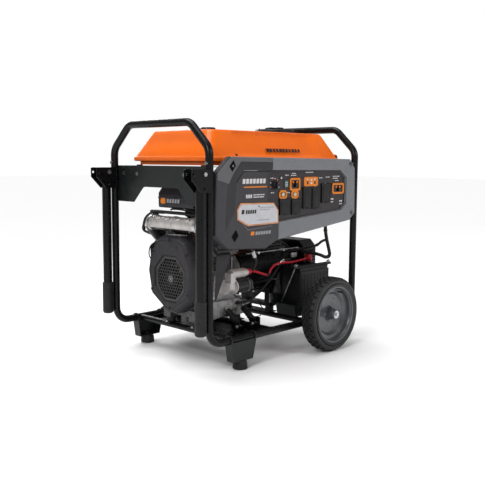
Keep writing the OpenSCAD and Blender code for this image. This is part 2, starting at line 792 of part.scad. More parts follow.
module engine_block() {
    color("#8f9296") {
        difference() {
            union() {
                // crankcase with a wider sump, deep at the front
                block([engine_x - 95, -104, 200], [engine_x + 120, 104, 425]);
                upright_sheet(-122, 122) polygon([[123, 178], [190, 168], [232, 172], [318, 204],
                    [405, 208], [405, 226], [360, 230], [340, 242], [123, 242]]);
                // mounting feet
                for (x = [front_x + 132, front_x + 366], y = [-82, 82])
                    block([x - 24, y - 22, 164], [x + 24, y + 22, 210]);
                // studs that the side dampers screw onto
                both_sides() for (x = damper_places) bar([x, 112, 220.5], [x, 136, 201.75], 5);
                each_cylinder() {
                    cylinder(r = 48, h = 205);
                    for (i = [0:7]) translate([0, 0, 112 + i * 11]) cylinder(r = 66, h = 4);
                }
                // bell housing towards the alternator
                translate([engine_x + 119, 0, crank_z]) rotate([0, 90, 0])
                    cylinder(r = 104, h = alternator_x - engine_x - 119);
                // oil filter on the far side
                translate([engine_x + 62, 103, 282]) rotate([-90, 0, 0]) cylinder(r = 38, h = 60);
            }
            translate([engine_x - 96, 0, crank_z]) rotate([0, 90, 0])
                cylinder(r = 40, h = alternator_x - engine_x + 97);
            block([engine_x - 80, -90, 215], [engine_x + 105, 90, 410]);
        }
    }
}

// Head casting with its rocker cover; room is the clearance that its neighbours leave
module head_shape(room) {
    translate([-62 - room, -56 - room, 205 - room]) cube([124 + 2 * room, 112 + 2 * room, 34 + 2 * room]);
    translate([-54 - room, -46 - room, 238]) cube([108 + 2 * room, 92 + 2 * room, 27 + room]);
}

module cylinder_heads() {
    color("#a3a6aa") each_cylinder() {
        head_shape(0);
        // spark plug and its boot
        translate([60, -32, 222]) rotate([0, 90, 0]) cylinder(r = 9, h = 40);
    }
}

// Fan housing: a many-sided plastic shell with a round intake in front
housing_side = [[52, 525], [98, 507], [139, 433], [152, 368], [129, 263], [55, 216], [30, 198]];
housing_outline = concat(housing_side, [for (i = [len(housing_side) - 1:-1:0])
    [-housing_side[i][0], housing_side[i][1]]]);

module blower_housing() {
    face_x = front_x + 52;
    back_x = front_x + 122;
    color("#5b5e62") difference() {
        union() {
            hull() {
                cross_sheet(face_x, face_x + 1) offset(delta = -16) polygon(housing_outline);
                cross_sheet(face_x + 20, face_x + 21) polygon(housing_outline);
            }
            cross_sheet(face_x + 20, back_x) polygon(housing_outline);
        }
        hull() {
            cross_sheet(face_x + 4, face_x + 5) offset(delta = -19) polygon(housing_outline);
            cross_sheet(face_x + 22, face_x + 23) offset(delta = -4) polygon(housing_outline);
        }
        cross_sheet(face_x + 21, back_x + 1) offset(delta = -4) polygon(housing_outline);
        translate([face_x - 10, 0, crank_z]) rotate([0, 90, 0]) cylinder(r = grille_r, h = 30);
    }
}

// Intake grille: slotted disc with a stiffening ring
module fan_grille() {
    face_x = front_x + 47;
    pitch = 15;
    color("#3a3c40") difference() {
        translate([face_x, 0, crank_z]) rotate([0, 90, 0]) difference() {
            cylinder(r = grille_r - 0.2, h = 8);
            translate([0, 0, 3]) cylinder(r = grille_r - 4, h = 6);
        }
        for (row = [-6:6], col = [-6:6]) {
            y = col * pitch + (row % 2 == 0 ? 0 : pitch / 2);
            z = row * pitch * 0.87;
            if (norm([y, z]) < grille_r - 11) translate([face_x - 1, y, crank_z + z])
                rotate([0, 90, 0]) cylinder(r = 6, h = 6, $fn = 6);
        }
    }
}

// Shrouds that lead the cooling air around each cylinder
module side_shrouds() {
    color("#46494d") difference() {
        for (side = [-1, 1]) difference() {
            intersection() {
                shroud_shape(side, 0);
                upright_sheet(-230, 230) polygon([[122.5, 250], [126, 262], [176, 385], [203, 458],
                    [203, 512], [122.5, 512]]);
            }
            shroud_shape(side, 3);
        }
        // room for the cylinders, the heads and the intake elbows
        each_cylinder() {
            cylinder(r = 68, h = 206);
            head_shape(1.5);
        }
        for (s = [-1, 1]) bar([front_x + 98, s * 176, 562], [front_x + 168, s * 176, 490], 33);
    }
}

module shroud_shape(side, shrink) {
    low = 250;
    top = 512;
    translate([front_x + 122.5 + (shrink > 0 ? -5 : 0), 0, 0]) rotate([90, 0, 90])
        linear_extrude(82 + (shrink > 0 ? 10 : 0))
            polygon([[side * (100 + shrink), top - 30], [side * (140 + shrink), low + shrink],
                [side * (204 - shrink), low + 20 + shrink], [side * (214 - shrink), 455],
                [side * (150 - shrink), top - shrink]]);
}

module air_cleaner() {
    x = front_x + 85;
    color("#3f4246") {
        hull() {
            block([x + 4, -112, 640], [x + 190, 112, 700]);
            block([x, -106, 652], [x + 186, 106, 690]);
            block([x + 22, -92, 742], [x + 168, 92, 743]);
        }
        block([x + 10, -118, 637], [x + 196, 118, 645]);
        translate([x + 100, 0, 600]) cylinder(r = 34, h = 40);
    }
}

// Polished cross pipe with end elbows down to the heads, and the fuel rail above it
module intake_manifold() {
    x = front_x + 88;
    z = 572;
    color("#c9cacc") {
        difference() {
            bent_tube([[x + 60, -176, z - 62], [x, -176, z], [x, 176, z], [x + 60, 176, z - 62]],
                40, 31);
            each_cylinder() head_shape(0.05);
        }
        for (y = [-120, 0, 120]) translate([x, y, z]) rotate([90, 0, 0])
            cylinder(r = 33.5, h = 8, center = true);
        translate([x + 100 - 3, 0, 560]) cylinder(r = 26, h = 40);
        translate([x, 0, z]) rotate([0, 90, 0]) cylinder(r = 22, h = 90);
    }
    color("#1c1d1f") {
        bent_tube([[x + 6, -150, z + 46], [x + 6, 168, z + 46], [x + 30, 190, z + 30],
            [x + 40, 190, z - 40]], 12, 7);
        for (y = [-130, 130]) translate([x + 6, y, z + 30]) cylinder(r = 8, h = 14);
    }
}

// Muffler on the far side, with its pipe from the heads and a perforated guard
module muffler() {
    x0 = front_x + 470;
    y = 196;
    z = 560;
    color("#6e6c69") {
        translate([x0, y, z]) rotate([0, 90, 0]) cylinder(r = 72, h = 330);
        for (x = [x0 + 8, x0 + 316]) translate([x, y, z]) rotate([0, 90, 0]) cylinder(r = 75, h = 6);
        difference() {
            bent_tube([[engine_x + 80, 175, 505], [engine_x + 140, 196, 560], [x0 + 4, 196, 560]],
                40, 19);
            each_cylinder() head_shape(0.05);
        }
        translate([x0 + 330, y, z - 20]) rotate([0, 90, 0]) cylinder(r = 16, h = 34);
        for (x = [x0 + 60, x0 + 250]) block([x, y - 60, z - 96], [x + 26, y + 20, z - 60]);
    }
}

// Starter motor with its solenoid on top, along the crankcase on the panel side
module starter_motor() {
    x = front_x + 228;
    y = -196;
    color("#b9bbbe") {
        translate([x, y, 316]) rotate([0, 90, 0]) cylinder(r = 30, h = 94);
        translate([x + 93, y, 316]) rotate([0, 90, 0]) cylinder(r1 = 29.5, r2 = 24, h = 9);
        translate([x - 34, y, 316]) rotate([0, 90, 0]) cylinder(r = 22, h = 34);
        translate([x - 12, y, 368]) rotate([0, 90, 0]) cylinder(r = 19, h = 82);
        translate([x + 69, y, 368]) rotate([0, 90, 0]) cylinder(r = 15, h = 15);
        translate([x + 83, y, 368]) rotate([0, 90, 0]) cylinder(r = 4, h = 12);
        block([x - 24, y - 18, 316], [x + 2, y + 18, 374]);
        // flange against the crankcase
        block([x - 34, y + 10, 286], [x - 12, -104.05, 346]);
    }
}

module flywheel_fan() {
    x = front_x + 66;
    color("#202124") {
        translate([x, 0, crank_z]) rotate([0, 90, 0]) difference() {
            union() {
                cylinder(r = 30, h = 31);
                translate([0, 0, 30]) cylinder(r = 88, h = 14);
            }
            translate([0, 0, -1]) cylinder(r = shaft_r - 0.48, h = 46);
        }
        for (i = [0:11]) translate([x, 0, crank_z]) rotate([i * 30, 0, 0])
            translate([2, -2, 28]) rotate([0, 0, 12]) cube([29, 4, 56]);
    }
}

// Crankshaft, its counterweights and the alternator's rotor on one line
module rotor_shaft() {
    end_x = alternator_x + alternator_l - 6;
    color("#7d8084") {
        translate([front_x + 60, 0, crank_z]) rotate([0, 90, 0])
            cylinder(r = shaft_r - 0.5, h = 66);
        translate([front_x + 126, 0, crank_z]) rotate([0, 90, 0])
            cylinder(r = shaft_r, h = end_x - front_x - 126);
        for (x = [engine_x - 34, engine_x + 26]) translate([x, 0, crank_z]) rotate([0, 90, 0])
            cylinder(r = 62, h = 14);
        translate([engine_x - 20, 0, crank_z + 32]) rotate([0, 90, 0]) cylinder(r = 18, h = 46);
        translate([alternator_x + 50, 0, crank_z]) rotate([0, 90, 0]) cylinder(r = rotor_r, h = 260);
    }
}

module shaft_bearings() {
    color("#c4c6c9") for (x = [engine_x - 95, alternator_x + alternator_l - 24])
        translate([x, 0, crank_z]) rotate([0, 90, 0]) difference() {
            cylinder(r = x < engine_x ? 40 : 31, h = 15);
            translate([0, 0, -1]) cylinder(r = shaft_r + 0.05, h = 17);
        }
}

// Finned barrel with the stator inside and an end bracket for the rear bearing
module alternator_housing() {
    end_x = alternator_x + alternator_l;
    color("#2b2d30") translate([alternator_x, 0, crank_z]) rotate([0, 90, 0]) {
        difference() {
            union() {
                cylinder(r = alternator_r, h = alternator_l - 24);
                translate([0, 0, alternator_l - 24]) cylinder(r1 = alternator_r, r2 = 92, h = 24);
                for (h = [4, alternator_l - 40]) {
                    translate([0, 0, h]) cylinder(r = alternator_r + 4, h = 10);
                }
                // through bolts along the barrel
                for (i = [0:3]) rotate([0, 0, 45 + i * 90]) {
                    translate([alternator_r - 1, 0, 4]) cylinder(r = 4, h = alternator_l - 30);
                }
            }
            translate([0, 0, 20]) cylinder(r = rotor_r + 1, h = alternator_l - 70);
            translate([0, 0, -1]) cylinder(r = 40, h = 30);
            translate([0, 0, alternator_l - 24]) cylinder(r = 31, h = 15);
            translate([0, 0, alternator_l - 60]) cylinder(r = 18, h = 70);
            for (i = [0:11]) rotate([0, 0, i * 30]) translate([60, -6, alternator_l - 10])
                cube([24, 12, 20]);
        }
    }
    // foot under the barrel
    color("#2b2d30") difference() {
        block([front_x + 578, -90, 164], [front_x + 622, 90, crank_z - 60]);
        translate([alternator_x, 0, crank_z]) rotate([0, 90, 0])
            cylinder(r = alternator_r - 1, h = alternator_l - 24);
        block([front_x + 570, -58, 180], [front_x + 630, 58, crank_z - 118]);
    }
    // louvred cover over the brush gear and the voltage regulator
    color("#2b2d30") difference() {
        cross_sheet(end_x, end_x + 92) polygon([[-92, 230], [-129, 268], [-129, 430], [-96, 462],
            [96, 462], [129, 430], [129, 268], [92, 230]]);
        cross_sheet(end_x - 1, end_x + 89) polygon([[-90, 233], [-126, 269], [-126, 429], [-95, 459],
            [95, 459], [126, 429], [126, 269], [90, 233]]);
        for (z = [280:16:410]) block([end_x + 14, -140, z], [end_x + 78, 140, z + 6]);
        for (z = [262:18:430]) block([end_x + 80, -84, z], [end_x + 100, 84, z + 7]);
    }
    cross_sheet(end_x, end_x + 3) difference() {
        polygon([[-92, 230], [-129, 268], [-129, 430], [-96, 462], [96, 462], [129, 430],
            [129, 268], [92, 230]]);
        translate([0, crank_z]) circle(90);
    }
}

// Rubber blocks under engine and alternator, and the bushings under the tank
module rubber_mounts() {
    color("#17181a") {
        for (x = [front_x + 132, front_x + 366], y = [-82, 82])
            translate([x, y, 141]) cylinder(r = 20, h = 23);
        for (y = [-70, 70]) translate([front_x + 600, y, 141]) cylinder(r = 20, h = 23);
        // side dampers, from the sump down to the pan
        both_sides() for (x = damper_places) {
            bar([x, 136, 201.75], [x, 200, 151.75], 13);
            bar([x, 199, 152.53], [x, 210, 143.94], 5);
            bar([x - 15, 210, 143.94], [x + 15, 210, 143.94], 5);
        }
        both_sides() for (x = [front_x + 62, rear_x - 62]) translate([x, 205, 0]) difference() {
            union() {
                translate([0, 0, 814]) cylinder(r = 13, h = 4);
                translate([0, 0, 804]) cylinder(r = 6, h = 10);
            }
            translate([0, 0, 803]) cylinder(r = 4, h = 16);
        }
    }
}

// ---------- battery and wiring ----------

module battery() {
    z = battery_base_z;
    color("#1f2124") {
        for (step = [[0, 16], [4, 0]])
            block([battery_x - 104 + step[0], battery_y - battery_half + step[0], z],
                [battery_x + 104 - step[0], battery_y + battery_half - step[0], z + battery_h - step[1]]);
        for (x = [-66, 66]) translate([battery_x + x - 9, battery_y + 27, z + battery_h - 1])
            cube([18, 16, 15]);
    }
}

// Folded tray with gussets to the rail, and the hold-down bar with its two rods
module battery_tray() {
    z = battery_base_z;
    top = z + battery_h;
    wide = battery_half + 3;
    color("#33363a") {
        block([battery_x - 107, battery_y - wide, z - 4], [battery_x + 107, battery_y + wide, z]);
        for (s = [-1, 1]) translate([0, battery_y + s * (wide - 1.5) - 1.5, 0])
            block([battery_x - 107, 0, z - 4], [battery_x + 107, 3, z + 30]);
        block([battery_x + 104, battery_y - wide, z - 1], [battery_x + 107, battery_y + wide, z + 30]);
        // gussets down to the cross tube, with room for the axle
        difference() {
            for (y = [battery_y - wide + 2, battery_y + wide - 5])
                upright_sheet(y, y + 3) polygon([[588, 138.2], [575, 192.5], [828, 192.5], [828, 170],
                    [640, 138.2]]);
            translate([axle_x, -half_w, axle_z]) rotate([-90, 0, 0]) cylinder(r = axle_r + 3, h = frame_w);
        }
        // closing plates between the gussets, and the tall wall towards the alternator
        upright_sheet(battery_y - wide + 3, battery_y + wide - 3)
            polygon([[589, 139], [576.5, 191.5], [580, 191.5], [592, 141.5], [640, 141.5],
                [827, 173.5], [827, 171], [640, 139]]);
        upright_sheet(battery_y + wide - 0.6, battery_y + wide + 2.5)
            polygon([[560, 186], [560, 240], [598, 330], [768, 330], [768, 226], [826, 226],
                [826, 191]]);
        block([front_x + 575, battery_y - wide + 2, z - 7.5],
            [battery_x + 107, battery_y + wide - 2, z - 3.5]);
        // ears that the hold-down rods hook into
        block([battery_x - 117, battery_y + 43, z - 10], [battery_x - 104, battery_y + 57, z - 4.5]);
        block([battery_x + 104, battery_y + 23, z - 10], [battery_x + 130, battery_y + 37, z - 4.5]);
        // padded hold-down bar across the front edge
        block([battery_x - 118, battery_y - 46, top + 0.5], [battery_x + 132, battery_y - 28, top + 9]);
    }
    color("#a9abae") {
        bar([battery_x - 112, battery_y - 38, top + 18], [battery_x - 112, battery_y + 50, z - 9], 3);
        bar([battery_x + 124, battery_y - 38, top + 20], [battery_x + 124, battery_y + 30, z - 9], 3);
    }
}

// Starter cable: route by hand from the battery's plus terminal to the solenoid
red_route = [[370, -151, 386], [330, -158, 381], [292, -164, 378], [203, -176, 377],
    [143, -186, 384], [90, -191, 381], [52, -196, 366], [27, -201, 343], [-12, -201, 352],
    [-56, -200, 366], [-92, -196, 370]];

// Sweep of a round section along a list of points, as one closed skin
// (no route here runs along Y, so Y serves as the steady reference for the rings)
function ring_frame(path, i) = let(
    w = unit(path[min(i + 1, len(path) - 1)] - path[max(i - 1, 0)]),
    u = unit(cross([0, 1, 0], w))) [u, cross(w, u)];
function skin_points(path, r, n) = [for (i = [0:len(path) - 1], k = [0:n - 1])
    let(f = ring_frame(path, i)) path[i] + r * (cos(k * 360 / n) * f[0] + sin(k * 360 / n) * f[1])];
function skin_faces(m, n) = concat(
    [[for (k = [0:n - 1]) k]],
    [for (i = [0:m - 2], k = [0:n - 1])
        [i * n + k, (i + 1) * n + k, (i + 1) * n + (k + 1) % n, i * n + (k + 1) % n]],
    [[for (k = [n - 1:-1:0]) (m - 1) * n + k]]);
// Catmull-Rom curve through the route's points, with a few steps for each span
function curve_at(p, i, t) = let(
    a = p[max(i - 1, 0)], b = p[i], c = p[i + 1], d = p[min(i + 2, len(p) - 1)])
    0.5 * (2 * b + (c - a) * t + (2 * a - 5 * b + 4 * c - d) * t * t
        + (3 * b - a - 3 * c + d) * t * t * t);
function smooth_route(p, steps) = concat(
    [for (i = [0:len(p) - 2], k = [0:steps - 1]) curve_at(p, i, k / steps)], [p[len(p) - 1]]);

module swept(route, r, steps) {
    path = smooth_route(route, steps);
    polyhedron(points = skin_points(path, r, 10), faces = skin_faces(len(path), 10), convexity = 6);
}

module red_battery_cable() {
    color("#c0202b") {
        swept(red_route, 5, 4);
        // insulating boots at the battery and at the solenoid
        translate([366, -151, 368.2]) cylinder(r = 17, h = 30);
        translate([-104, -196, 369]) rotate([0, 90, 0]) difference() {
            cylinder(r = 12, h = 26);
            translate([1, 0, -1]) cylinder(r = 4.2, h = 13);
        }
    }
}

// Corrugated loom from the control box down to the engine, and the black battery cable
loom_route = [[358, -249, 640], [369, -246, 570], [375, -242, 520], [389, -241, 470],
    [405, -240, 430], [415, -238, 398], [390, -236, 390], [360, -226, 402], [345, -190, 410],
    [340, -131, 412]];
branch_route = [[389, -241, 474], [353, -240, 468], [318, -236, 452], [296, -200, 440],
    [280, -150, 425], [262, -84, 412]];
black_route = [[238, -151, 373], [222, -148, 386], [182, -142, 372], [102, -140, 300],
    [32, -138, 250], [-38, -136, 225], [-90, -128, 222]];
sensor_route = [[-96, -124, 222], [-104, -165, 236], [-110, -200, 240], [-88, -214, 245],
    [-57, -221, 231], [-27, -221, 202], [-38, -221, 177], [-48, -214, 172], [-56, -204, 167.5]];

module wiring_loom() {
    color("#1c1d20") {
        swept(loom_route, 8, 4);
        swept(branch_route, 6, 4);
        swept(black_route, 5, 4);
        swept(sensor_route, 2, 3);
    }
}

front_hoop();
rear_hoop();
engine_cradle();
front_end_panel();
rear_end_panel();
handle_bracket_left();
handle_bracket_right();
handle_left();
handle_right();
handle_grip_left();
handle_grip_right();
pivot_bolts();
snap_button_left();
snap_button_right();
foot_brackets();
rubber_feet();
axle();
axle_brackets();
tire_left();
tire_right();
rim_left();
rim_right();
fuel_tank();
fuel_cap();
filler_neck();
fuel_gauge();
panel_fasteners();
control_bezel();
lower_cover();
outlet_plate();
control_box();
receptacles();
outlet_cover_1();
outlet_cover_2();
outlet_cover_3();
outlet_cover_4();
outlet_cover_5();
breaker_button_1();
breaker_button_2();
breaker_toggle_1();
breaker_toggle_2();
start_switch_knob();
engine_block();
cylinder_heads();
blower_housing();
fan_grille();
side_shrouds();
air_cleaner();
intake_manifold();
muffler();
starter_motor();
flywheel_fan();
rotor_shaft();
shaft_bearings();
alternator_housing();
rubber_mounts();
battery();
battery_tray();
red_battery_cable();
wiring_loom();
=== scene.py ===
"""Portable generator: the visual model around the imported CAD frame.

Sizes of the pieces are millimetres in the shared frame: +X towards the wheels, +Y away from the
control panel, +Z up. Panel places are (distance behind the front hoop, height). Lights, the floor
and the thresholds of modifiers are in metres.
"""

import math

import bmesh
import bpy
from mathutils import Matrix, Vector


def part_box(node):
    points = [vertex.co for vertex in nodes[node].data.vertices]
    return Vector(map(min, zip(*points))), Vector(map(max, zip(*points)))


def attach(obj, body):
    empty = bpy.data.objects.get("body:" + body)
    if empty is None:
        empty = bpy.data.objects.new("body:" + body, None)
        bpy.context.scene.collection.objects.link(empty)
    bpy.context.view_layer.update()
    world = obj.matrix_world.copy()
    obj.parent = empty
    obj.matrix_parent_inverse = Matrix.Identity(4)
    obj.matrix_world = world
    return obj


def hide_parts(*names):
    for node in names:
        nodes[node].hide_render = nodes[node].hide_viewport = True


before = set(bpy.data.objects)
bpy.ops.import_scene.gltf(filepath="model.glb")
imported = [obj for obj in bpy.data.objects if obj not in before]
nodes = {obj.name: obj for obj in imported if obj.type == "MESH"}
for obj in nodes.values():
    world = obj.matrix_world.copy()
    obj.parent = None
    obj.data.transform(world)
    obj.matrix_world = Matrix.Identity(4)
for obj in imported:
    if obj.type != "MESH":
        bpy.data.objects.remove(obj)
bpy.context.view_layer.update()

MM = 0.001
TUBE_R = 15.875
EDGE_WEAR_AND_HIGHLIGHT_WIDTH, GRAIN_DEPTH = 1.6, 0.4


def low(node):
    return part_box(node)[0] / MM


def high(node):
    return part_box(node)[1] / MM


FRONT_X = low("front_hoop").x + TUBE_R
REAR_X = high("rear_hoop").x - TUBE_R
HALF_W = high("front_hoop").y - TUBE_R
PANEL_Y = low("control_bezel").y
CRANK_Z = 344.0
ENGINE_X = FRONT_X + 220
UP, ALONG, AHEAD, OUTWARD = (0, 0, 1), (1, 0, 0), (-1, 0, 0), (0, -1, 0)

# ---------------------------------------------------------------- materials


def surface(name, color, rough=0.5, metal=0.0, coat=0.0, grain=0.2, grain_mm=0.9, mottle=0.12,
            mottle_mm=45.0, spread=0.08, edge=None, cells=0.0, specular=0.3):
    """A node material: mottled colour, uneven gloss, fine grain and, where asked, lighter edges: wear, and on
    the tank a painted highlight.
    """
    mat = bpy.data.materials.new(name)
    mat.use_nodes = True
    tree = mat.node_tree
    new, link = tree.nodes.new, tree.links.new
    shader = tree.nodes["Principled BSDF"]
    shader.inputs["Metallic"].default_value = metal
    shader.inputs["Coat Weight"].default_value = coat
    shader.inputs["Coat Roughness"].default_value = 0.12
    shader.inputs["Specular IOR Level"].default_value = specular
    coords = new("ShaderNodeTexCoord")

    def noise(size_mm, detail=3.0, rough_detail=0.55):
        n = new("ShaderNodeTexNoise")
        n.inputs["Scale"].default_value = 1.0 / (size_mm * MM)
        n.inputs["Detail"].default_value = detail
        n.inputs["Roughness"].default_value = rough_detail
        link(coords.outputs["Object"], n.inputs["Vector"])
        return n.outputs["Fac"]

    def remap(value, low_to, high_to, low_from=0.3, high_from=0.7):
        n = new("ShaderNodeMapRange")
        n.inputs["From Min"].default_value = low_from
        n.inputs["From Max"].default_value = high_from
        n.inputs["To Min"].default_value = low_to
        n.inputs["To Max"].default_value = high_to
        link(value, n.inputs["Value"])
        return n.outputs["Result"]

    def mix(factor, a, b):
        n = new("ShaderNodeMix")
        n.data_type = "RGBA"
        link(factor, n.inputs["Factor"])
        for value, socket in ((a, n.inputs["A"]), (b, n.inputs["B"])):
            if isinstance(value, tuple):
                socket.default_value = (*value, 1.0)
            else:
                link(value, socket)
        return n.outputs["Result"]

    darker = tuple(c * (1 - mottle) for c in color)
    lighter = tuple(min(1.0, c * (1 + mottle)) for c in color)
    tone = mix(remap(noise(mottle_mm), 0.0, 1.0), darker, lighter)
    fine = noise(grain_mm, 2.0)
    # lighter colour where the surface bends sharply: edge wear, and on the tank a painted highlight
    if edge:
        bevel = new("ShaderNodeBevel")
        bevel.samples = 4
        bevel.inputs["Radius"].default_value = EDGE_WEAR_AND_HIGHLIGHT_WIDTH * MM
        geometry = new("ShaderNodeNewGeometry")
        dot = new("ShaderNodeVectorMath")
        dot.operation = "DOT_PRODUCT"
        link(bevel.outputs["Normal"], dot.inputs[0])
        link(geometry.outputs["Normal"], dot.inputs[1])
        edge_wear_and_highlight = new("ShaderNodeMath")
        edge_wear_and_highlight.operation = "MULTIPLY"
        link(remap(dot.outputs["Value"], 1.0, 0.0, 0.72, 0.985), edge_wear_and_highlight.inputs[0])
        link(remap(noise(7.0), 0.0, edge[1], 0.38, 0.66), edge_wear_and_highlight.inputs[1])
        tone = mix(edge_wear_and_highlight.outputs["Value"], tone, edge[0])
    link(tone, shader.inputs["Base Color"])
    link(remap(noise(mottle_mm * 0.45), max(0.03, rough - spread), min(1.0, rough + spread)),
         shader.inputs["Roughness"])
    bump = new("ShaderNodeBump")
    bump.inputs["Strength"].default_value = grain
    bump.inputs["Distance"].default_value = GRAIN_DEPTH * MM
    height = fine
    if cells:
        pits = new("ShaderNodeTexVoronoi")
        pits.inputs["Scale"].default_value = 1.0 / (cells * MM)
        link(coords.outputs["Object"], pits.inputs["Vector"])
        add = new("ShaderNodeMath")
        add.operation = "ADD"
        link(fine, add.inputs[0])
        link(pits.outputs["Distance"], add.inputs[1])
        height = add.outputs["Value"]
    link(height, bump.inputs["Height"])
    link(bump.outputs["Normal"], shader.inputs["Normal"])
    return mat


MOULDED = {"grain": 0.35, "grain_mm": 0.6, "cells": 0.8}
PRINTED = {"grain": 0.08, "mottle": 0.05}

powder = surface("powder_black", (0.0024, 0.0025, 0.0030), 0.3, grain=0.2, grain_mm=0.7, specular=0.2,
                 edge=((0.02, 0.02, 0.022), 0.4))
powder_grey = surface("powder_dark", (0.0060, 0.0075, 0.0076), 0.36, grain=0.3, grain_mm=0.8,
                      edge=((0.035, 0.035, 0.038), 0.5))
rubber = surface("rubber", (0.010, 0.0095, 0.0105), 0.62, grain=0.5, grain_mm=0.5, mottle=0.3)
tread_rubber = surface("tyre_tread", (0.0085, 0.0085, 0.0100), 0.62, grain=0.6, grain_mm=0.9,
                       mottle=0.35, edge=((0.03, 0.03, 0.032), 0.6))
wall_rubber = surface("tyre_wall", (0.013, 0.013, 0.0142), 0.44, grain=0.25, grain_mm=0.6,
                      mottle=0.2)
rim_paint = surface("rim_paint", (0.098, 0.101, 0.108), 0.34, metal=0.5, coat=0.3, grain=0.2,
                    grain_mm=0.7, mottle=0.1, edge=((0.35, 0.35, 0.36), 0.5))
zinc = surface("zinc", (0.52, 0.52, 0.54), 0.3, metal=1.0, grain=0.35, grain_mm=1.2, mottle=0.2,
               mottle_mm=8)
# the tank's lighter edge colour is a painted highlight along its facets and creases
orange = surface("tank_orange", (0.78, 0.130, 0.0004), 0.32, coat=0.12, grain=0.08, grain_mm=2.2,
                 mottle=0.03, mottle_mm=120, spread=0.04, edge=((0.95, 0.28, 0.03), 0.5))
plastic = surface("plastic_black", (0.0055, 0.0055, 0.0065), 0.42, grain=0.5, grain_mm=0.5,
                  cells=0.7)
bezel_light = surface("bezel_light", (0.150, 0.155, 0.168), 0.44, mottle=0.05,
                      edge=((0.24, 0.245, 0.26), 0.6), **MOULDED)
bezel_dark = surface("bezel_dark", (0.036, 0.034, 0.038), 0.46, mottle=0.06,
                     edge=((0.13, 0.13, 0.14), 0.7), **MOULDED)
bezel_mid = surface("bezel_mid", (0.092, 0.091, 0.098), 0.46, mottle=0.06,
                    edge=((0.15, 0.15, 0.16), 0.7), **MOULDED)
# a dark grey that stands for shade on the bezel's inner chamfer: painted shade
bezel_shade = surface("bezel_shade", (0.022, 0.021, 0.024), 0.5, mottle=0.06, **MOULDED)
# a black without sheen that stands for the shade inside recesses: painted shade
recess_shade = surface("recess_shade", (0.004, 0.004, 0.0045), 0.7, specular=0.03)
field_dark = surface("field_dark", (0.036, 0.033, 0.037), 0.4, grain=0.25, grain_mm=0.6,
                     mottle=0.06)
plate_paint = surface("plate_paint", (0.027, 0.023, 0.026), 0.36, grain=0.2, grain_mm=0.6,
                      mottle=0.1, edge=((0.08, 0.08, 0.085), 0.4))
flap_plastic = surface("flap_plastic", (0.0045, 0.0045, 0.0055), 0.36, grain=0.4, grain_mm=0.5,
                       cells=0.7)
housing = surface("housing_plastic", (0.0215, 0.0195, 0.0225), 0.5, grain=0.6, grain_mm=0.8,
                  cells=1.2, mottle=0.12, edge=((0.07, 0.07, 0.075), 0.7))
mesh_grey = surface("mesh_grey", (0.048, 0.047, 0.049), 0.45, grain=0.3, grain_mm=0.8)
cleaner_plastic = surface("cleaner_plastic", (0.019, 0.0175, 0.0205), 0.44, grain=0.4,
                          grain_mm=0.7, cells=1.0, edge=((0.08, 0.08, 0.085), 0.6))
cast = surface("cast_aluminium", (0.40, 0.395, 0.39), 0.46, metal=0.85, grain=0.8, grain_mm=1.6,
               mottle=0.25, mottle_mm=18, cells=2.0, edge=((0.7, 0.7, 0.7), 0.6))
cast_dark = surface("cast_dark", (0.085, 0.083, 0.082), 0.5, metal=0.6, grain=0.8, grain_mm=1.6,
                    mottle=0.3, mottle_mm=20, cells=2.0, edge=((0.3, 0.3, 0.3), 0.6))
bright = surface("bright_aluminium", (0.50, 0.475, 0.46), 0.42, metal=0.6, grain=0.22, grain_mm=1.6,
                 mottle=0.12, mottle_mm=25, edge=((0.85, 0.85, 0.85), 0.5))
starter_black = surface("starter_black", (0.012, 0.012, 0.013), 0.3, grain=0.3, mottle=0.2)
steel_heat = surface("muffler_steel", (0.20, 0.19, 0.185), 0.42, metal=0.9, grain=0.3,
                     mottle=0.35, mottle_mm=60, spread=0.14)
steel_dark = surface("machined_steel", (0.24, 0.24, 0.25), 0.35, metal=1.0, grain=0.3,
                     mottle=0.2, mottle_mm=12)
brass = surface("screen_brass", (0.42, 0.31, 0.13), 0.34, metal=0.8, grain=0.4, mottle=0.3,
                mottle_mm=10)
copper = surface("copper_winding", (0.10, 0.045, 0.02), 0.5, metal=0.6, grain=0.8, grain_mm=1.0,
                 mottle=0.25, mottle_mm=6)
red_sheath = surface("red_sheath", (0.42, 0.006, 0.018), 0.42, grain=0.3, mottle=0.15)
black_sheath = surface("black_sheath", (0.006, 0.006, 0.007), 0.5, grain=0.4, mottle=0.2)
print_white = surface("print_white", (0.52, 0.51, 0.51), 0.4, **PRINTED)
print_grey = surface("print_grey", (0.26, 0.26, 0.27), 0.4, **PRINTED)
print_dark = surface("print_dark", (0.03, 0.012, 0.008), 0.35, **PRINTED)
print_orange = surface("print_orange", (0.60, 0.17, 0.010), 0.38, grain=0.08, mottle=0.08)
notice_rim = surface("notice_rim", (0.50, 0.21, 0.09), 0.34, grain=0.1, mottle=0.3, mottle_mm=60)
silver_foil = surface("silver_foil", (0.50, 0.50, 0.53), 0.36, metal=0.45, grain=0.3,
                      grain_mm=1.5, mottle=0.08, mottle_mm=40)
display_glass = surface("display_glass", (0.02, 0.10, 0.10), 0.12, coat=0.6, grain=0.04,
                        mottle=0.2, mottle_mm=6)
ivory = surface("ivory_plastic", (0.50, 0.40, 0.28), 0.38, grain=0.25, grain_mm=0.6, mottle=0.05)
floor_mat = surface("studio_floor", (0.86, 0.86, 0.86), 0.55, grain=0.02, grain_mm=3,
                    mottle=0.004, mottle_mm=900, spread=0.02)

# ---------------------------------------------------------------- mesh building


def put(name, data):
    """A new object in the scene."""
    obj = bpy.data.objects.new(name, data)
    bpy.context.scene.collection.objects.link(obj)
    return obj


def across(axis):
    """Two unit vectors square to an axis."""
    axis = Vector(axis).normalized()
    helper = Vector((0, 0, 1)) if abs(axis.z) < 0.9 else Vector((1, 0, 0))
    u = helper.cross(axis).normalized()
    return u, axis.cross(u)


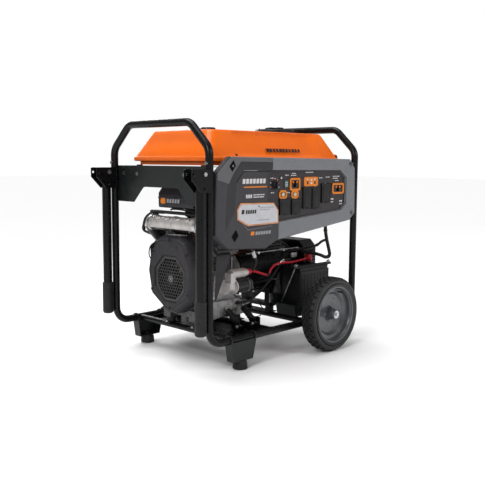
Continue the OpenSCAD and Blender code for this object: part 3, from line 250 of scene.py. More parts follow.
def inset(outline, distance):
    """Moves each side of a 2D outline inwards (positive) by mitring its corners."""
    count = len(outline)
    area = sum(outline[i][0] * outline[(i + 1) % count][1] - outline[(i + 1) % count][0] * outline[i][1]
               for i in range(count))
    turn = 1 if area > 0 else -1
    moved = []
    for i in range(count):
        p, q, r = (Vector(outline[(i + k) % count]) for k in (-1, 0, 1))
        a, b = (q - p).normalized(), (r - q).normalized()
        na, nb = (Vector((-d.y, d.x)) * turn for d in (a, b))
        middle = (na + nb).normalized()
        moved.append(tuple(q + middle * (distance / max(0.3, middle.dot(na)))))
    return moved


def smooth_path(points, radius, steps=7):
    """A path with each corner rounded to a radius."""
    points = [Vector(p) for p in points]
    path = [points[0]]
    for before, corner, after in zip(points, points[1:], points[2:]):
        a, b = (before - corner).normalized(), (after - corner).normalized()
        half = math.acos(max(-1, min(1, a.dot(b)))) / 2
        cut = min(radius / math.tan(half), (before - corner).length * 0.49, (after - corner).length * 0.49)
        r = cut * math.tan(half)
        centre = corner + (a + b).normalized() * (r / math.sin(half))
        start, end = corner + a * cut - centre, corner + b * cut - centre
        angle = start.angle(end)
        for k in range(steps + 1):
            t = k / steps
            arm = (start * math.sin((1 - t) * angle) + end * math.sin(t * angle)) / math.sin(angle)
            path.append(centre + arm)
    path.append(points[-1])
    return path


def curve_path(points, steps=6):
    """A Catmull-Rom curve through a list of points."""
    pts = [Vector(p) for p in points]
    out = []
    for i in range(len(pts) - 1):
        a, b, c, d = pts[max(i - 1, 0)], pts[i], pts[i + 1], pts[min(i + 2, len(pts) - 1)]
        for k in range(steps):
            t = k / steps
            out.append(0.5 * (2 * b + (c - a) * t + (2 * a - 5 * b + 4 * c - d) * t * t
                              + (3 * b - a - 3 * c + d) * t ** 3))
    return out + [pts[-1]]


def rect(x0, z0, x1, z1):
    """The four corners of an upright rectangle."""
    return [(x0, z0), (x1, z0), (x1, z1), (x0, z1)]


def spots(count, radius, start=0.0):
    """Points at an even spacing on a circle; start is in degrees."""
    turns = [math.radians(start + 360 / count * k) for k in range(count)]
    return [(radius * math.cos(t), radius * math.sin(t)) for t in turns]


def shifted(x0, route):
    """The points of a route, moved along X."""
    return [(x0 + x, y, z) for x, y, z in route]


def panel_loops(rows):
    """Loops from (outline on the panel, Y) rows."""
    return [[(FRONT_X + x, y, z) for x, z in line] for line, y in rows]


def cross_loops(rows):
    """Loops from (X, outline across the machine) rows."""
    return [[(x, *p) for p in line] for x, line in rows]


class Shape:
    """Collects closed solids in millimetres and becomes one piece."""

    def __init__(self):
        self.points, self.faces, self.slots = [], [], []

    def add(self, points, faces, slot=0):
        base = len(self.points)
        self.points += [Vector(p) for p in points]
        self.faces += [[base + i for i in f] for f in faces]
        self.slots += [slot] * len(faces)
        return self

    def loft(self, loops, slot=0, caps=True, ring=False):
        """Skins a list of loops that have the same number of points."""
        n, m = len(loops[0]), len(loops)
        points = [p for loop in loops for p in loop]
        faces = [[i * n + k, i * n + (k + 1) % n, ((i + 1) % m) * n + (k + 1) % n, ((i + 1) % m) * n + k]
                 for i in range(m if ring else m - 1) for k in range(n)]
        if caps and not ring:
            faces += [list(range(n))[::-1], [(m - 1) * n + k for k in range(n)]]
        return self.add(points, faces, slot)

    def box(self, a, b, slot=0):
        x0, y0, z0, x1, y1, z1 = *a, *b
        return self.loft([[(x, y, z) for x, y in rect(x0, y0, x1, y1)] for z in (z0, z1)], slot)

    def lathe(self, profile, origin, axis, n=48, slot=0, closed=False):
        """Turns (radius, offset along the axis) points about an axis."""
        axis = Vector(axis).normalized()
        u, v = across(axis)
        origin = Vector(origin)
        loops = [[origin + axis * h + (u * math.cos(t) + v * math.sin(t)) * max(r, 0.01)
                  for t in (2 * math.pi * k / n for k in range(n))] for r, h in profile]
        return self.loft(loops, slot, ring=closed)

    def tube(self, path, radius, n=14, slot=0, radii=None):
        """A round section swept along a path."""
        path = [Vector(p) for p in path]
        loops, u = [], None
        for i, p in enumerate(path):
            w = (path[min(i + 1, len(path) - 1)] - path[max(i - 1, 0)]).normalized()
            u = across(w)[0] if u is None else (u - w * u.dot(w)).normalized()
            v = w.cross(u)
            r = radii[i] if radii else radius
            loops.append([p + (u * math.cos(t) + v * math.sin(t)) * r
                          for t in (2 * math.pi * k / n for k in range(n))])
        return self.loft(loops, slot)

    def slab(self, outline, y0, y1, slot=0, chamfer=0.0):
        """A panel shape, (distance behind the front hoop, height), between two values of Y."""
        rows = [(outline, y1), (outline, y0 + chamfer)]
        if chamfer:
            rows.append((inset(outline, chamfer), y0))
        return self.loft(panel_loops(rows), slot)

    def sheet(self, outline, x0, x1, slot=0, chamfer=0.0):
        """A cross shape, (y, z), between two values of X; x0 is the chamfered face."""
        step = chamfer if x1 > x0 else -chamfer
        rows = [(x1, outline), (x0 + step, outline)]
        if chamfer:
            rows.append((x0, inset(outline, chamfer)))
        return self.loft(cross_loops(rows), slot)

    def sleeve(self, at, axis, r, half, rise=1.0, n=20, slot=0):
        """A band round a cable or pipe, with its long edges eased."""
        profile = [(r, -half), (r + rise, 1 - half), (r + rise, half - 1), (r, half)]
        return self.lathe(profile, at, axis, n, slot)

    def bolt(self, at, axis, r=6.5, h=5.0, washer=1.6, slot=0, sides=6):
        """A screw head on its washer."""
        at, axis = Vector(at), Vector(axis).normalized()
        if washer:
            self.lathe([(r * 1.35, 0), (r * 1.4, washer * 0.4), (r * 1.3, washer)], at, axis, 20, slot)
        self.lathe([(r * 0.96, washer), (r, washer + 0.5), (r, h + washer - 1), (r * 0.86, h + washer)],
                   at, axis, sides, slot)
        return self

    def piece(self, name, body, mats, slot, replaces=(), bevel=0.0, angle=30, segments=2, flat=False):
        mesh = bpy.data.meshes.new(name)
        bm = bmesh.new()
        verts = [bm.verts.new(p * MM) for p in self.points]
        for f, s in zip(self.faces, self.slots):
            try:
                face = bm.faces.new([verts[i] for i in f])
            except ValueError:
                continue
            face.material_index = s
        bmesh.ops.remove_doubles(bm, verts=bm.verts, dist=1e-6)
        bmesh.ops.recalc_face_normals(bm, faces=bm.faces)
        if bevel:
            edges = [e for e in bm.edges if len(e.link_faces) == 2
                     and e.calc_face_angle(0) > math.radians(angle)]
            bmesh.ops.bevel(bm, geom=edges, offset=bevel * MM, segments=segments, profile=0.6,
                            affect="EDGES", clamp_overlap=True)
        bm.to_mesh(mesh)
        bm.free()
        obj = put(name, mesh)
        for m in mats if isinstance(mats, (list, tuple)) else [mats]:
            mesh.materials.append(m)
        mesh.polygons.foreach_set("use_smooth", [not flat] * len(mesh.polygons))
        if not flat:
            mesh.set_sharp_from_angle(angle=math.radians(48))
            weighted = obj.modifiers.new("normals", "WEIGHTED_NORMAL")
            weighted.keep_sharp = True
        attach(obj, body)
        if replaces:
            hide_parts(*replaces)
        return obj


def carve(obj, cutter):
    """Cuts a Shape out of a piece, once and for all."""
    tool = cutter.piece("cutter", "chassis", [obj.data.materials[0]], "frame_black", flat=True)
    cut = obj.modifiers.new("cut", "BOOLEAN")
    cut.object = tool
    cut.solver = "EXACT"
    obj.modifiers.move(len(obj.modifiers) - 1, 0)
    others = [m for m in obj.modifiers if m != cut]
    for m in others:
        m.show_viewport = False
    bpy.context.view_layer.update()
    done = bpy.data.meshes.new_from_object(obj.evaluated_get(bpy.context.evaluated_depsgraph_get()))
    for m in others:
        m.show_viewport = True
    obj.modifiers.remove(cut)
    obj.data = done
    done.polygons.foreach_set("use_smooth", [True] * len(done.polygons))
    done.set_sharp_from_angle(angle=math.radians(40))
    bpy.data.objects.remove(tool)


# ---------------------------------------------------------------- CAD nodes that stay


def finish_node(name, mats, bevel=0.5, choose=None):
    """Gives a CAD node its materials and soft edges; choose(x, y, z in mm) picks a slot for a face."""
    obj = nodes[name]
    mesh = obj.data
    mats = mats if isinstance(mats, (list, tuple)) else [mats]
    mesh.materials.clear()
    for m in mats:
        mesh.materials.append(m)
    for p in mesh.polygons:
        p.use_smooth = True
        p.material_index = choose(*(p.center / MM)) if choose else 0
    if "custom_normal" in mesh.attributes:
        mesh.attributes.remove(mesh.attributes["custom_normal"])
    weld = obj.modifiers.new("weld", "WELD")
    weld.merge_threshold = 2e-5
    if bevel:
        flat = obj.modifiers.new("flat", "DECIMATE")
        flat.decimate_type = "DISSOLVE"
        flat.angle_limit = math.radians(1.5)
        flat.delimit = {"MATERIAL"}
        soft = obj.modifiers.new("soft_edges", "BEVEL")
        soft.width = bevel * MM
        soft.segments = 2
        soft.limit_method = "ANGLE"
        soft.angle_limit = math.radians(35)
        soft.use_clamp_overlap = True
        soft.miter_outer = "MITER_ARC"
    weighted = obj.modifiers.new("normals", "WEIGHTED_NORMAL")
    weighted.keep_sharp = True
    return obj


# material, width of the soft edges, and the nodes that get them
SIDES = ("left", "right")
FINISHES = (
    (powder, 0.0, [f"handle_{side}" for side in SIDES]),
    (powder, 0.6, ["engine_cradle"]),
    (powder, 0.7, ["axle_brackets", "alternator_housing"] + [f"handle_bracket_{side}" for side in SIDES]),
    (powder_grey, 0.5, ["control_box"]),
    (powder_grey, 0.6, ["front_end_panel", "rear_end_panel"]),
    (powder_grey, 0.8, ["foot_brackets"]),
    (rubber, 0.5, ["rubber_mounts"]),
    (rubber, 0.8, ["rubber_feet"]),
    (rim_paint, 0.6, [f"rim_{side}" for side in SIDES]),
    (zinc, 0.3, ["shaft_bearings"] + [f"snap_button_{side}" for side in SIDES]),
    (zinc, 0.5, ["pivot_bolts"]),
    (steel_dark, 0.4, ["panel_fasteners"]),
    (steel_dark, 0.5, ["axle"]),
    (steel_heat, 0.8, ["muffler"]),
    (plastic, 0.4, ["receptacles", "breaker_toggle_1", "breaker_toggle_2"]),
    (plastic, 0.5, ["start_switch_knob", "flywheel_fan"]),
    (plastic, 0.8, ["fuel_cap", "filler_neck", "fuel_gauge"]),
    (plastic, 1.2, ["battery"]),
    (ivory, 0.5, ["breaker_button_1", "breaker_button_2"]),
    (flap_plastic, 0.6, [f"outlet_cover_{i}" for i in range(1, 6)]),
    (plate_paint, 0.5, ["outlet_plate"]),
    (cast_dark, 0.8, ["cylinder_heads"]),
    (housing, 0.8, ["side_shrouds"]),
    (cleaner_plastic, 2.5, ["air_cleaner"]),
)
for finish, edge_width, names in FINISHES:
    for node_name in names:
        finish_node(node_name, finish, edge_width)

# below 300 mm the block is light cast, except at its front under the blower, where the dark cast is painted
# shade
finish_node("engine_block", [cast, cast_dark, plastic], 0.6,
            lambda x, y, z: 2 if y > 106 and z > 243 and z < 322 and x > ENGINE_X + 20 else
            (0 if z < 300 and x > FRONT_X + 178 else 1))
finish_node("intake_manifold", [bright, plastic], 0.0,
            lambda x, y, z: 1 if z > 606 or z < 553 else 0)
finish_node("starter_motor", [bright, cast_dark], 0.8,
            lambda x, y, z: 1 if z < 345 and x > FRONT_X + 232 else 0)
finish_node("rotor_shaft", [steel_dark, copper], 0.5,
            lambda x, y, z: 1 if x > FRONT_X + 420 and math.hypot(y, z - CRANK_Z) > 40 else 0)
finish_node("battery_tray", [powder_grey, zinc], 0.5,
            lambda x, y, z: 1 if (x < FRONT_X + 612 and z > 240 and z < 372) else 0)

# ---------------------------------------------------------------- frame tubes

TOP_Z = 1000 - TUBE_R
RAIL_Z = 125.0
RAIL_JOIN = FRONT_X + 596
CORNER_DROP, CORNER_IN, BEND_R = 102, 109, 62
CROSS_X = [FRONT_X + x for x in (132, 366, 600)]


def hoop(name, hoop_x):
    """One bent tube: half rail, upright, corner, top bar, and down again."""
    right = [(RAIL_JOIN, HALF_W, RAIL_Z), (hoop_x, HALF_W, RAIL_Z),
             (hoop_x, HALF_W, TOP_Z - CORNER_DROP), (hoop_x, HALF_W - CORNER_IN, TOP_Z)]
    left = [(x, -y, z) for x, y, z in right]
    path = smooth_path(left + right[::-1], BEND_R, 10)
    return Shape().tube(path, TUBE_R, 28).piece(name + "_tube", "chassis", powder, "frame_black", (name,))


hoop("front_hoop", FRONT_X)
hoop("rear_hoop", REAR_X)

# ---------------------------------------------------------------- fuel tank

TANK_X = (low("fuel_tank").x + high("fuel_tank").x) / 2
TANK_TOP, SHOULDER_Z = high("fuel_tank").z, 852.5
TANK_L = high("fuel_tank").x - low("fuel_tank").x
TANK_W = high("fuel_tank").y - low("fuel_tank").y
SLOPE_X, SLOPE_Y = 67.0, 64.0
CAP_BACK, GAUGE_BACK = 700, 272
# Pressed relief of the long sides: place along the tank at the foot and at the top, and its depth
RELIEF = [(0.03, 0.03, 0.0), (0.115, 0.128, 0.0), (0.235, 0.150, 9.0), (0.385, 0.300, 9.0),
          (0.398, 0.335, 5.0), (0.415, 0.350, 9.0), (0.433, 0.405, 9.0), (0.445, 0.42, 5.0),
          (0.458, 0.43, 9.0), (0.62, 0.62, 9.0), (0.800, 0.842, 9.0), (0.872, 0.93, 0.0),
          (0.885, 0.94, 0.0), (0.90, 0.95, 2.2), (0.93, 0.965, 0.0), (0.97, 0.985, 0.0)]


def tank_ring(z, grow_x, grow_y, rise):
    """One ring round the tank; rise runs from 0 at the rim to 1 at the top."""
    hx, hy = TANK_L / 2 + grow_x, TANK_W / 2 + grow_y
    r = 34 - 8 * rise
    ring = []
    fade = min(1.0, max(0.0, (rise - 0.03) / 0.09)) * min(1.0, max(0.0, (1.0 - rise) / 0.10))
    for quarter, (sx, sy) in enumerate(((-1, -1), (1, -1), (1, 1), (-1, 1))):
        centre = (TANK_X + sx * (hx - r), sy * (hy - r))
        start = math.radians(180 + 90 * quarter)
        for k in range(7):
            t = start + math.radians(15 * k)
            ring.append((centre[0] + r * math.cos(t), centre[1] + r * math.sin(t), z))
        if quarter % 2 == 0:
            for foot, head, depth in RELIEF:
                share = foot + (head - foot) * max(0.0, rise)
                x = TANK_X + sx * (hx - r) * (1 - 2 * share)
                ring.append((x, sy * (hy - depth * fade), z))
        else:
            for k in range(1, 6):
                ring.append((TANK_X + sx * hx, sy * (hy - r) * (1 - k / 3), z))
    return ring


def tank():
    rows = [(818, -20, -18, 0), (831, -20, -18, 0), (833, -4, -4, 0), (834.5, -1, -1, 0),
            (837, 0, 0, 0), (847, 0, 0, 0), (850, -0.8, -0.8, 0), (851.5, -3.5, -3.5, 0),
            (SHOULDER_Z, -6, -6, 0.0)]
    for step in (0.03, 0.07, 0.12, 0.3, 0.5, 0.7, 0.86, 0.93):
        rows.append((SHOULDER_Z + (TANK_TOP - SHOULDER_Z) * step, -6 - (SLOPE_X - 6) * step,
                     -6 - (SLOPE_Y - 6) * step, step))
    for drop, back in ((4.2, 1.2), (1.7, 4.0), (0.5, 8.5), (0.1, 14.0)):
        rows.append((TANK_TOP - drop, -SLOPE_X - back + 2, -SLOPE_Y - back + 2, 1.0))
    loops = [tank_ring(*row) for row in rows]
    top = Shape().loft(loops)
    # raised pads round the filler and the gauge, and shallow stiffening beads
    top.lathe([(112, -1.0), (112, 0.4), (109, 1.4), (30, 1.6)], (FRONT_X + CAP_BACK, 0, TANK_TOP - 1), UP, 56)
    top.lathe([(44, -1.0), (44, 0.4), (42, 1.2), (20, 1.4)], (FRONT_X + GAUGE_BACK, 0, TANK_TOP - 1), UP, 40)
    for y in (-110, -55, 0, 55, 110):
        bead = [(FRONT_X + 330, y, TANK_TOP - 1.6), (FRONT_X + 560, y, TANK_TOP - 1.6)]
        top.tube(bead, 3.2, 12)
    return top.piece("tank_shell", "chassis", orange, "tank_orange", ("fuel_tank",))


tank()

# the seam of the rim, and the tank's screws on their round pads
seam = Shape()
seam.loft([tank_ring(z, g, g, 0) for z, g in ((841.2, 0.3), (842, 0.9), (842.8, 0.3))], caps=False)
seam.piece("tank_seam", "chassis", orange, "tank_orange")
tank_screws = Shape()
for x in (207, 869):
    for s in (-1, 1):
        at = (FRONT_X + x, s * (TANK_W / 2 - 15), 858)
        tank_screws.lathe([(13, -6), (13, 0), (11.5, 1.5), (4, 1.8)], at, (0, s * 0.85, 0.5), 24, 1)
        tank_screws.bolt(Vector(at) + Vector((0, s * 0.85, 0.5)) * 1.5, (0, s * 0.85, 0.5), 5, 4)
tank_screws.piece("tank_screws", "chassis", [plastic, orange], "black_plastic")

marks = Shape()
lo_z, hi_z = 874.0, 889.0
for k in range(11):
    x, width = 396 + k * 20.5, 13 if k % 4 else 16
    if k > 6:
        width *= 0.8
    y0, y1 = (-TANK_W / 2 + 6 + (SLOPE_Y - 6) * (z - SHOULDER_Z) / (TANK_TOP - SHOULDER_Z)
              for z in (lo_z, hi_z))
    loops = []
    for off in (-1.0, 0.5):
        loops.append([(FRONT_X + x, y0 - off, lo_z), (FRONT_X + x + width, y0 - off, lo_z),
                      (FRONT_X + x + width + 3, y1 - off, hi_z), (FRONT_X + x + 3, y1 - off, hi_z)])
    marks.loft(loops)
marks.piece("tank_marks", "chassis", print_dark, "black_plastic")

# ---------------------------------------------------------------- fuel cap and gauge

cap_ribs = Shape()
CAP_X = FRONT_X + CAP_BACK
for dx, y in spots(24, 44.4, 7.5):
    cap_ribs.tube([(CAP_X + dx, y, TANK_TOP + 10), (CAP_X + dx, y, TANK_TOP + 24)], 1.5, 8)
cap_ribs.piece("cap_ribs", "fuel_cap", plastic, "black_plastic")
ring = Shape()
ring.lathe([(95.5, 0.5), (96.5, 3), (95.8, 6), (94, 6)], (CAP_X, 0, TANK_TOP - 1), UP, 64, 0,
           closed=True)
for dx, y in spots(8, 77, 20):
    ring.bolt((CAP_X + dx, y, TANK_TOP + 20.5), UP, 4, 2.5, 0.8)
ring.piece("filler_ring", "chassis", plastic, "black_plastic")
dial = Shape()
GAUGE = Vector((FRONT_X + GAUGE_BACK, 0, TANK_TOP + 16))
dial.lathe([(25, -0.6), (25, 0.2), (24, 0.4)], GAUGE, UP, 40, 0)
for k in range(5):
    t = math.radians(-50 + 25 * k + 90)
    dial.tube([GAUGE + Vector((math.cos(t) * r, math.sin(t) * r, 0.6)) for r in (17, 22)], 0.8, 6, 1)
dial.tube([GAUGE + Vector((0, 0, 0.8)), GAUGE + Vector((8, 13, 0.8))], 1.0, 8, 2)
dial.piece("gauge_dial", "chassis", [print_white, print_dark, print_orange], "black_plastic")

# ---------------------------------------------------------------- control panel mouldings

BEZEL = [(22, 792), (95, 853), (871, 847), (908, 806), (914, 597), (875, 566), (376, 510.5),
         (376, 588), (803, 619), (841, 646), (841, 761), (797, 795), (166, 799), (128, 755),
         (97, 747)]
COVER = [(22, 789.5), (97, 746.5), (127.5, 754.5), (166, 798.5), (317.5, 797), (317.5, 587.5),
         (375.5, 587.5), (375.5, 511), (372, 510), (298, 479), (81, 495), (19, 552)]
BACK_Y = PANEL_Y + 26


def shell_moulding(shape, outline, chamfer, back=BACK_Y, slot=0):
    """A moulded shell: a chamfered face with side walls that run back."""
    outer = [inset(outline, d) for d in (0.0, 1.2, chamfer * 0.62, chamfer)]
    inner = [inset(outline, 3.0), inset(outline, chamfer + 2.0)]
    rows = [(outer[0], back), (outer[0], PANEL_Y + 7.5), (outer[1], PANEL_Y + 4.4),
            (outer[2], PANEL_Y + 1.2), (outer[3], PANEL_Y)]
    loops = panel_loops(rows)
    shape.loft(loops, slot, caps=False)
    n = len(outline)
    shape.add(loops[-1], [list(range(n))], slot)
    rows = [(outer[0], back), (inner[0], back), (inner[0], PANEL_Y + 9), (inner[1], PANEL_Y + 3)]
    hollow = panel_loops(rows)
    shape.loft(hollow, slot, caps=False)
    shape.add(hollow[-1], [list(range(n))], slot)


SPLIT = 335.0
bezel = Shape()
shell_moulding(bezel, BEZEL, 8.0)
bezel_obj = bezel.piece("bezel_moulding", "chassis", [bezel_light, bezel_shade], "bezel_grey",
                        ("control_bezel",))
cover = Shape()
shell_moulding(cover, COVER, 7.0, PANEL_Y + 30)
cover_obj = cover.piece("cover_moulding", "chassis", [bezel_dark, field_dark], "cover_grey",
                        ("lower_cover",))
SCREWS = [(103, 817), (119, 545), (870, 826), (884, 600)]


def diamond(x, z, half, y0, y1):
    pocket = Shape()
    corners = [(x - half, z), (x, z - half), (x + half, z), (x, z + half)]
    return pocket.slab(corners, PANEL_Y + y0, PANEL_Y + y1)


for x, z in (SCREWS[0], SCREWS[2], SCREWS[3]):
    carve(bezel_obj, diamond(x, z, 17, -1, 2.2))
carve(cover_obj, diamond(119, 545, 17, -1, 2.2))
# the left part of the bezel is painted darker, as shade of its inner chamfer, and meets the rest in a
# straight step
carve(bezel_obj, Shape().slab(rect(SPLIT - 0.8, 770, SPLIT + 0.8, 870), PANEL_Y - 1, PANEL_Y + 1.0))
for p in bezel_obj.data.polygons:
    p.material_index = 1 if p.center.x / MM < FRONT_X + SPLIT and p.center.z > 0.7 else 0
# on the left side of the panel: a pale outer border, grey band with a painted highlight on its lit diagonal
# facet, and a dark inner bevel that is painted shade
BORDER = [(24, 764), (25, 791), (96, 851), (SPLIT - 2, 849), (SPLIT - 2, 832), (150, 834), (108, 786),
          (84, 748)]
BEVEL = [(66, 566), (74.5, 734), (110, 784), (151, 831.5), (SPLIT - 2, 829.5), (SPLIT - 2, 800), (166, 801.5),
         (125, 756), (118, 640)]
lip = Shape().slab(BORDER[::-1], PANEL_Y - 1.6, PANEL_Y + 1, 0, 1.2)
lip.slab(BEVEL[::-1], PANEL_Y - 0.5, PANEL_Y + 1, 1, 0.4)
# a pale strip along the step of the lower cover: a painted highlight on its edge
ridge = [(163, 594), (190, 566), (SPLIT, 575), (SPLIT, 571), (190, 561), (158, 592)]
lip.slab(ridge, PANEL_Y - 0.9, PANEL_Y + 1, 0, 0.4)
lip.piece("bezel_lip", "chassis", [bezel_mid, bezel_shade], "bezel_grey")
FIELD = [(136, 752), (172, 790), (309, 789), (309, 600), (200, 574), (136, 606)]
carve(cover_obj, Shape().slab(FIELD, PANEL_Y - 1, PANEL_Y + 1.4))
for p in cover_obj.data.polygons:
    deep = p.center.y / MM > PANEL_Y + 1.2 and p.normal.y < -0.9
    p.material_index = 1 if deep and p.center.x / MM > FRONT_X + 137 else 0

# dark diamond seats and rings round the panel screws, and most screw heads, take the painted-shade black of
# their recesses
seats = Shape()
for k, (x, z) in enumerate(SCREWS):
    if k < 2:
        seats.slab([(x - 19, z - 2), (x - 3, z - 23), (x + 17, z), (x + 4, z + 23)],
                   PANEL_Y - 2.2, PANEL_Y, 1, 0.5)
    at = (FRONT_X + x, PANEL_Y - (2.2 if k < 2 else -0.3), z)
    seats.lathe([(7.5, -0.3), (7.5, 0.5), (6.5, 0.9)], at, OUTWARD, 24, 1)
    seats.lathe([(4.4, 0.5), (4.4, 1.6), (3.6, 2.2)], at, OUTWARD, 20, 0 if k < 1 else 1)
seats.piece("panel_screw_heads", "chassis", [steel_dark, recess_shade], "zinc")

# ---------------------------------------------------------------- prints on the panel


def bars(shape, x, z, widths, height, y, slot=0, gap=4.0, slant=0.0, thick=0.35):
    """A row of plain bars that stands for printed words."""
    for width in widths:
        outline = [(x, z), (x + width, z), (x + width + slant, z + height), (x + slant, z + height)]
        shape.slab(outline, y - thick, y + 0.1, slot)
        x += width + gap


FIELD_Y = PANEL_Y + 1.4
prints = Shape()
bars(prints, 160, 747, (15, 15, 15, 15, 15, 15, 14), 19, FIELD_Y, 0, 4.6, 2.0)
prints.slab(rect(168, 731, 301, 736), FIELD_Y - 0.35, FIELD_Y + 0.1, 1)
bars(prints, 180, 690, (9, 9, 9), 14, FIELD_Y, 0, 3.5)
bars(prints, 222, 700, (14, 20, 10, 12), 4, FIELD_Y, 0, 3)
bars(prints, 222, 691, (20, 12, 24), 4, FIELD_Y, 0, 3)
# orange mark and grey words at the foot of the cover
prints.slab([(206, 541), (226, 541), (229, 556), (209, 556)], PANEL_Y - 0.35, PANEL_Y + 0.1, 1)
bars(prints, 234, 541, (12, 12, 12, 12, 12, 12), 13, PANEL_Y, 2, 3.6, 1.5)
prints.slab([(867, 668), (871, 671), (897, 716), (893, 713)], PANEL_Y - 0.3, PANEL_Y + 0.1, 2)
prints.piece("panel_prints", "chassis", [print_white, print_orange, print_grey], "white_plastic")

NOTICE = [(149, 672), (342, 667), (370, 635), (371, 581), (192, 579), (130, 607), (129, 646)]
notice = Shape()
NOTICE_TOP = PANEL_Y - 2.2
notice.loft(panel_loops([(NOTICE, PANEL_Y + 1.2), (NOTICE, PANEL_Y - 1.3), (inset(NOTICE, 1.6), NOTICE_TOP),
                         (inset(NOTICE, 4.4), NOTICE_TOP), (inset(NOTICE, 5.2), PANEL_Y - 1.4)]))
notice.slab(inset(NOTICE, 5.5), PANEL_Y - 1.75, PANEL_Y - 1.2, 1)
FOIL_Y = PANEL_Y - 1.75
bars(notice, 152, 628, (15,), 17, FOIL_Y, 2, 4, 2)
bars(notice, 176, 628, (9, 9, 9, 9, 9), 15, FOIL_Y, 3, 3.6, 1.2)
bars(notice, 258, 648, (22, 14, 26, 12), 3.2, FOIL_Y, 4, 3)
bars(notice, 258, 640, (16, 24, 12), 3.2, FOIL_Y, 4, 3)
bars(notice, 240, 598, (10, 18, 14, 20), 4.2, FOIL_Y, 4, 3.5)
notice.slab([(252, 660), (256, 656), (252, 652), (248, 656)], FOIL_Y - 0.3, FOIL_Y + 0.1, 3)
notice.piece("notice_plate", "chassis", [notice_rim, silver_foil, print_dark, plastic, print_grey],
             "white_plastic")

# ---------------------------------------------------------------- outlet plate furniture

PLATE_Y = PANEL_Y + 12


def frame_around(shape, x0, z0, x1, z1, wide, y, tall, slot, cut=6.0):
    """A raised rectangular frame with chamfered corners."""
    def corners(x0, z0, x1, z1, c):
        return [(x0 + c, z0), (x1 - c, z0), (x1, z0 + c), (x1, z1 - c), (x1 - c, z1), (x0 + c, z1),
                (x0, z1 - c), (x0, z0 + c)]
    a = corners(x0, z0, x1, z1, cut)
    b = corners(x0 + wide, z0 + wide, x1 - wide, z1 - wide, cut * 0.6)
    rows = [(a, y + 0.2), (a, y - tall + 0.8), (inset(a, 0.9), y - tall),
            (inset(b, -0.9), y - tall), (b, y - tall + 0.8), (b, y + 0.2)]
    shape.loft(panel_loops(rows), slot, ring=True)


furniture = Shape()
for x0, z0, x1, z1 in ((453, 712, 520, 766), (745, 690, 831, 739)):
    frame_around(furniture, x0, z0, x1, z1, 8.5, PLATE_Y - 2, 3.5, 0)
    middle = ((x0 + x1) / 2, (z0 + z1) / 2)
    for s in (-1, 1):
        furniture.slab([(middle[0] + s * 14 - 5, z1 - 13), (middle[0] + s * 14 + 5, z1 - 13),
                        (middle[0] + s * 11 + 3, z1 - 22), (middle[0] + s * 11 - 3, z1 - 22)],
                       PLATE_Y - 4.2, PLATE_Y - 1.9, 0)
for x0, z0, x1, z1 in ((386, 680, 435, 716), (464, 679, 510, 714)):
    frame_around(furniture, x0, z0, x1, z1, 8, PLATE_Y - 1.5, 3.0, 0, 9.0)
# the big orange plate over the middle outlets, with its white and dark marks
furniture.slab([(553, 728), (637, 728), (643, 734), (643, 763), (637, 769), (553, 769), (547, 763),
                (547, 734)], PLATE_Y - 3.2, PLATE_Y - 1.4, 0, 1.0)
LABEL_Y = PLATE_Y - 3.2
for x, w, z, h, slot in ((566, 9, 738, 12, 2), (590, 12, 752, 8, 1), (590, 12, 738, 8, 1),
                         (615, 9, 738, 12, 2), (566, 9, 755, 7, 1), (615, 9, 755, 7, 1)):
    furniture.slab(rect(x, z, x + w, z + h), LABEL_Y - 0.4, LABEL_Y + 0.2, slot)
furniture.piece("orange_frames", "chassis", [print_orange, print_white, print_dark], "tank_orange",
                bevel=0)

small = Shape()
# plain dots around the start switch, and its collar
KNOB_X, KNOB_Z = FRONT_X + 361, 738
for (dx, dz), slot in zip(spots(10, 27, -20), (0, 3, 2, 0, 3, 0, 2)):
    small.lathe([(2.6, -0.2), (2.6, 0.35), (1.8, 0.5)], (KNOB_X + dx, PLATE_Y, KNOB_Z + dz),
                OUTWARD, 12, slot)
small.lathe([(19.4, -0.2), (19.4, 3.0), (17.6, 3.6), (16.2, 3.0), (16.2, -0.2)],
            (KNOB_X, PLATE_Y - 2, KNOB_Z), OUTWARD, 40, 4)
# tell-tale lamp, display and its bezel
LAMP = (FRONT_X + 399, PLATE_Y, 767)
small.lathe([(7.5, -0.2), (7.5, 2), (6.2, 2.6), (5.2, 2.2)], LAMP, OUTWARD, 24, 4)
small.lathe([(5.2, 1.2), (4.2, 3.4), (1.5, 4.6)], LAMP, OUTWARD, 20, 0)
small.slab(rect(421, 728, 442, 755), PLATE_Y - 3.4, PLATE_Y - 2.9, 1)
for k in range(3):
    bars(small, 424, 732 + k * 7, (4, 8), 3, PLATE_Y - 3.4, 0, 1.5)
# small words over the switches and outlets
for x, z, widths in ((425, 776, (12, 8)), (468, 783, (10, 14)), (462, 775, (12, 8, 10)),
                     (560, 787, (16, 12, 18)), (652, 762, (10, 12)), (700, 765, (12, 14)),
                     (752, 768, (16, 10, 18)), (752, 759, (12, 22)), (768, 748, (14, 10)),
                     (332, 765, (8, 10)), (336, 705, (10, 8)), (436, 703, (10, 10))):
    bars(small, x, z, widths, 3.4, PLATE_Y, 0, 2.2)
for x, z in ((738, 664), (804, 653)):
    bars(small, x, z, (9, 9), 7, PLATE_Y, 0, 2.4)
    bars(small, x, z - 11, (20.4,), 4, PLATE_Y, 0)
for x, z in ((420, 686), (494, 684), (566, 733), (627, 733), (699, 746)):
    dot = (FRONT_X + x, PLATE_Y - (1.5 if z < 700 else 0), z - 7)
    small.lathe([(2.8, -0.2), (2.8, 0.4), (2.0, 0.6)], dot, OUTWARD, 12, 0)
small.piece("plate_details", "chassis", [print_white, display_glass, print_orange, red_sheath, plastic],
            "white_plastic")

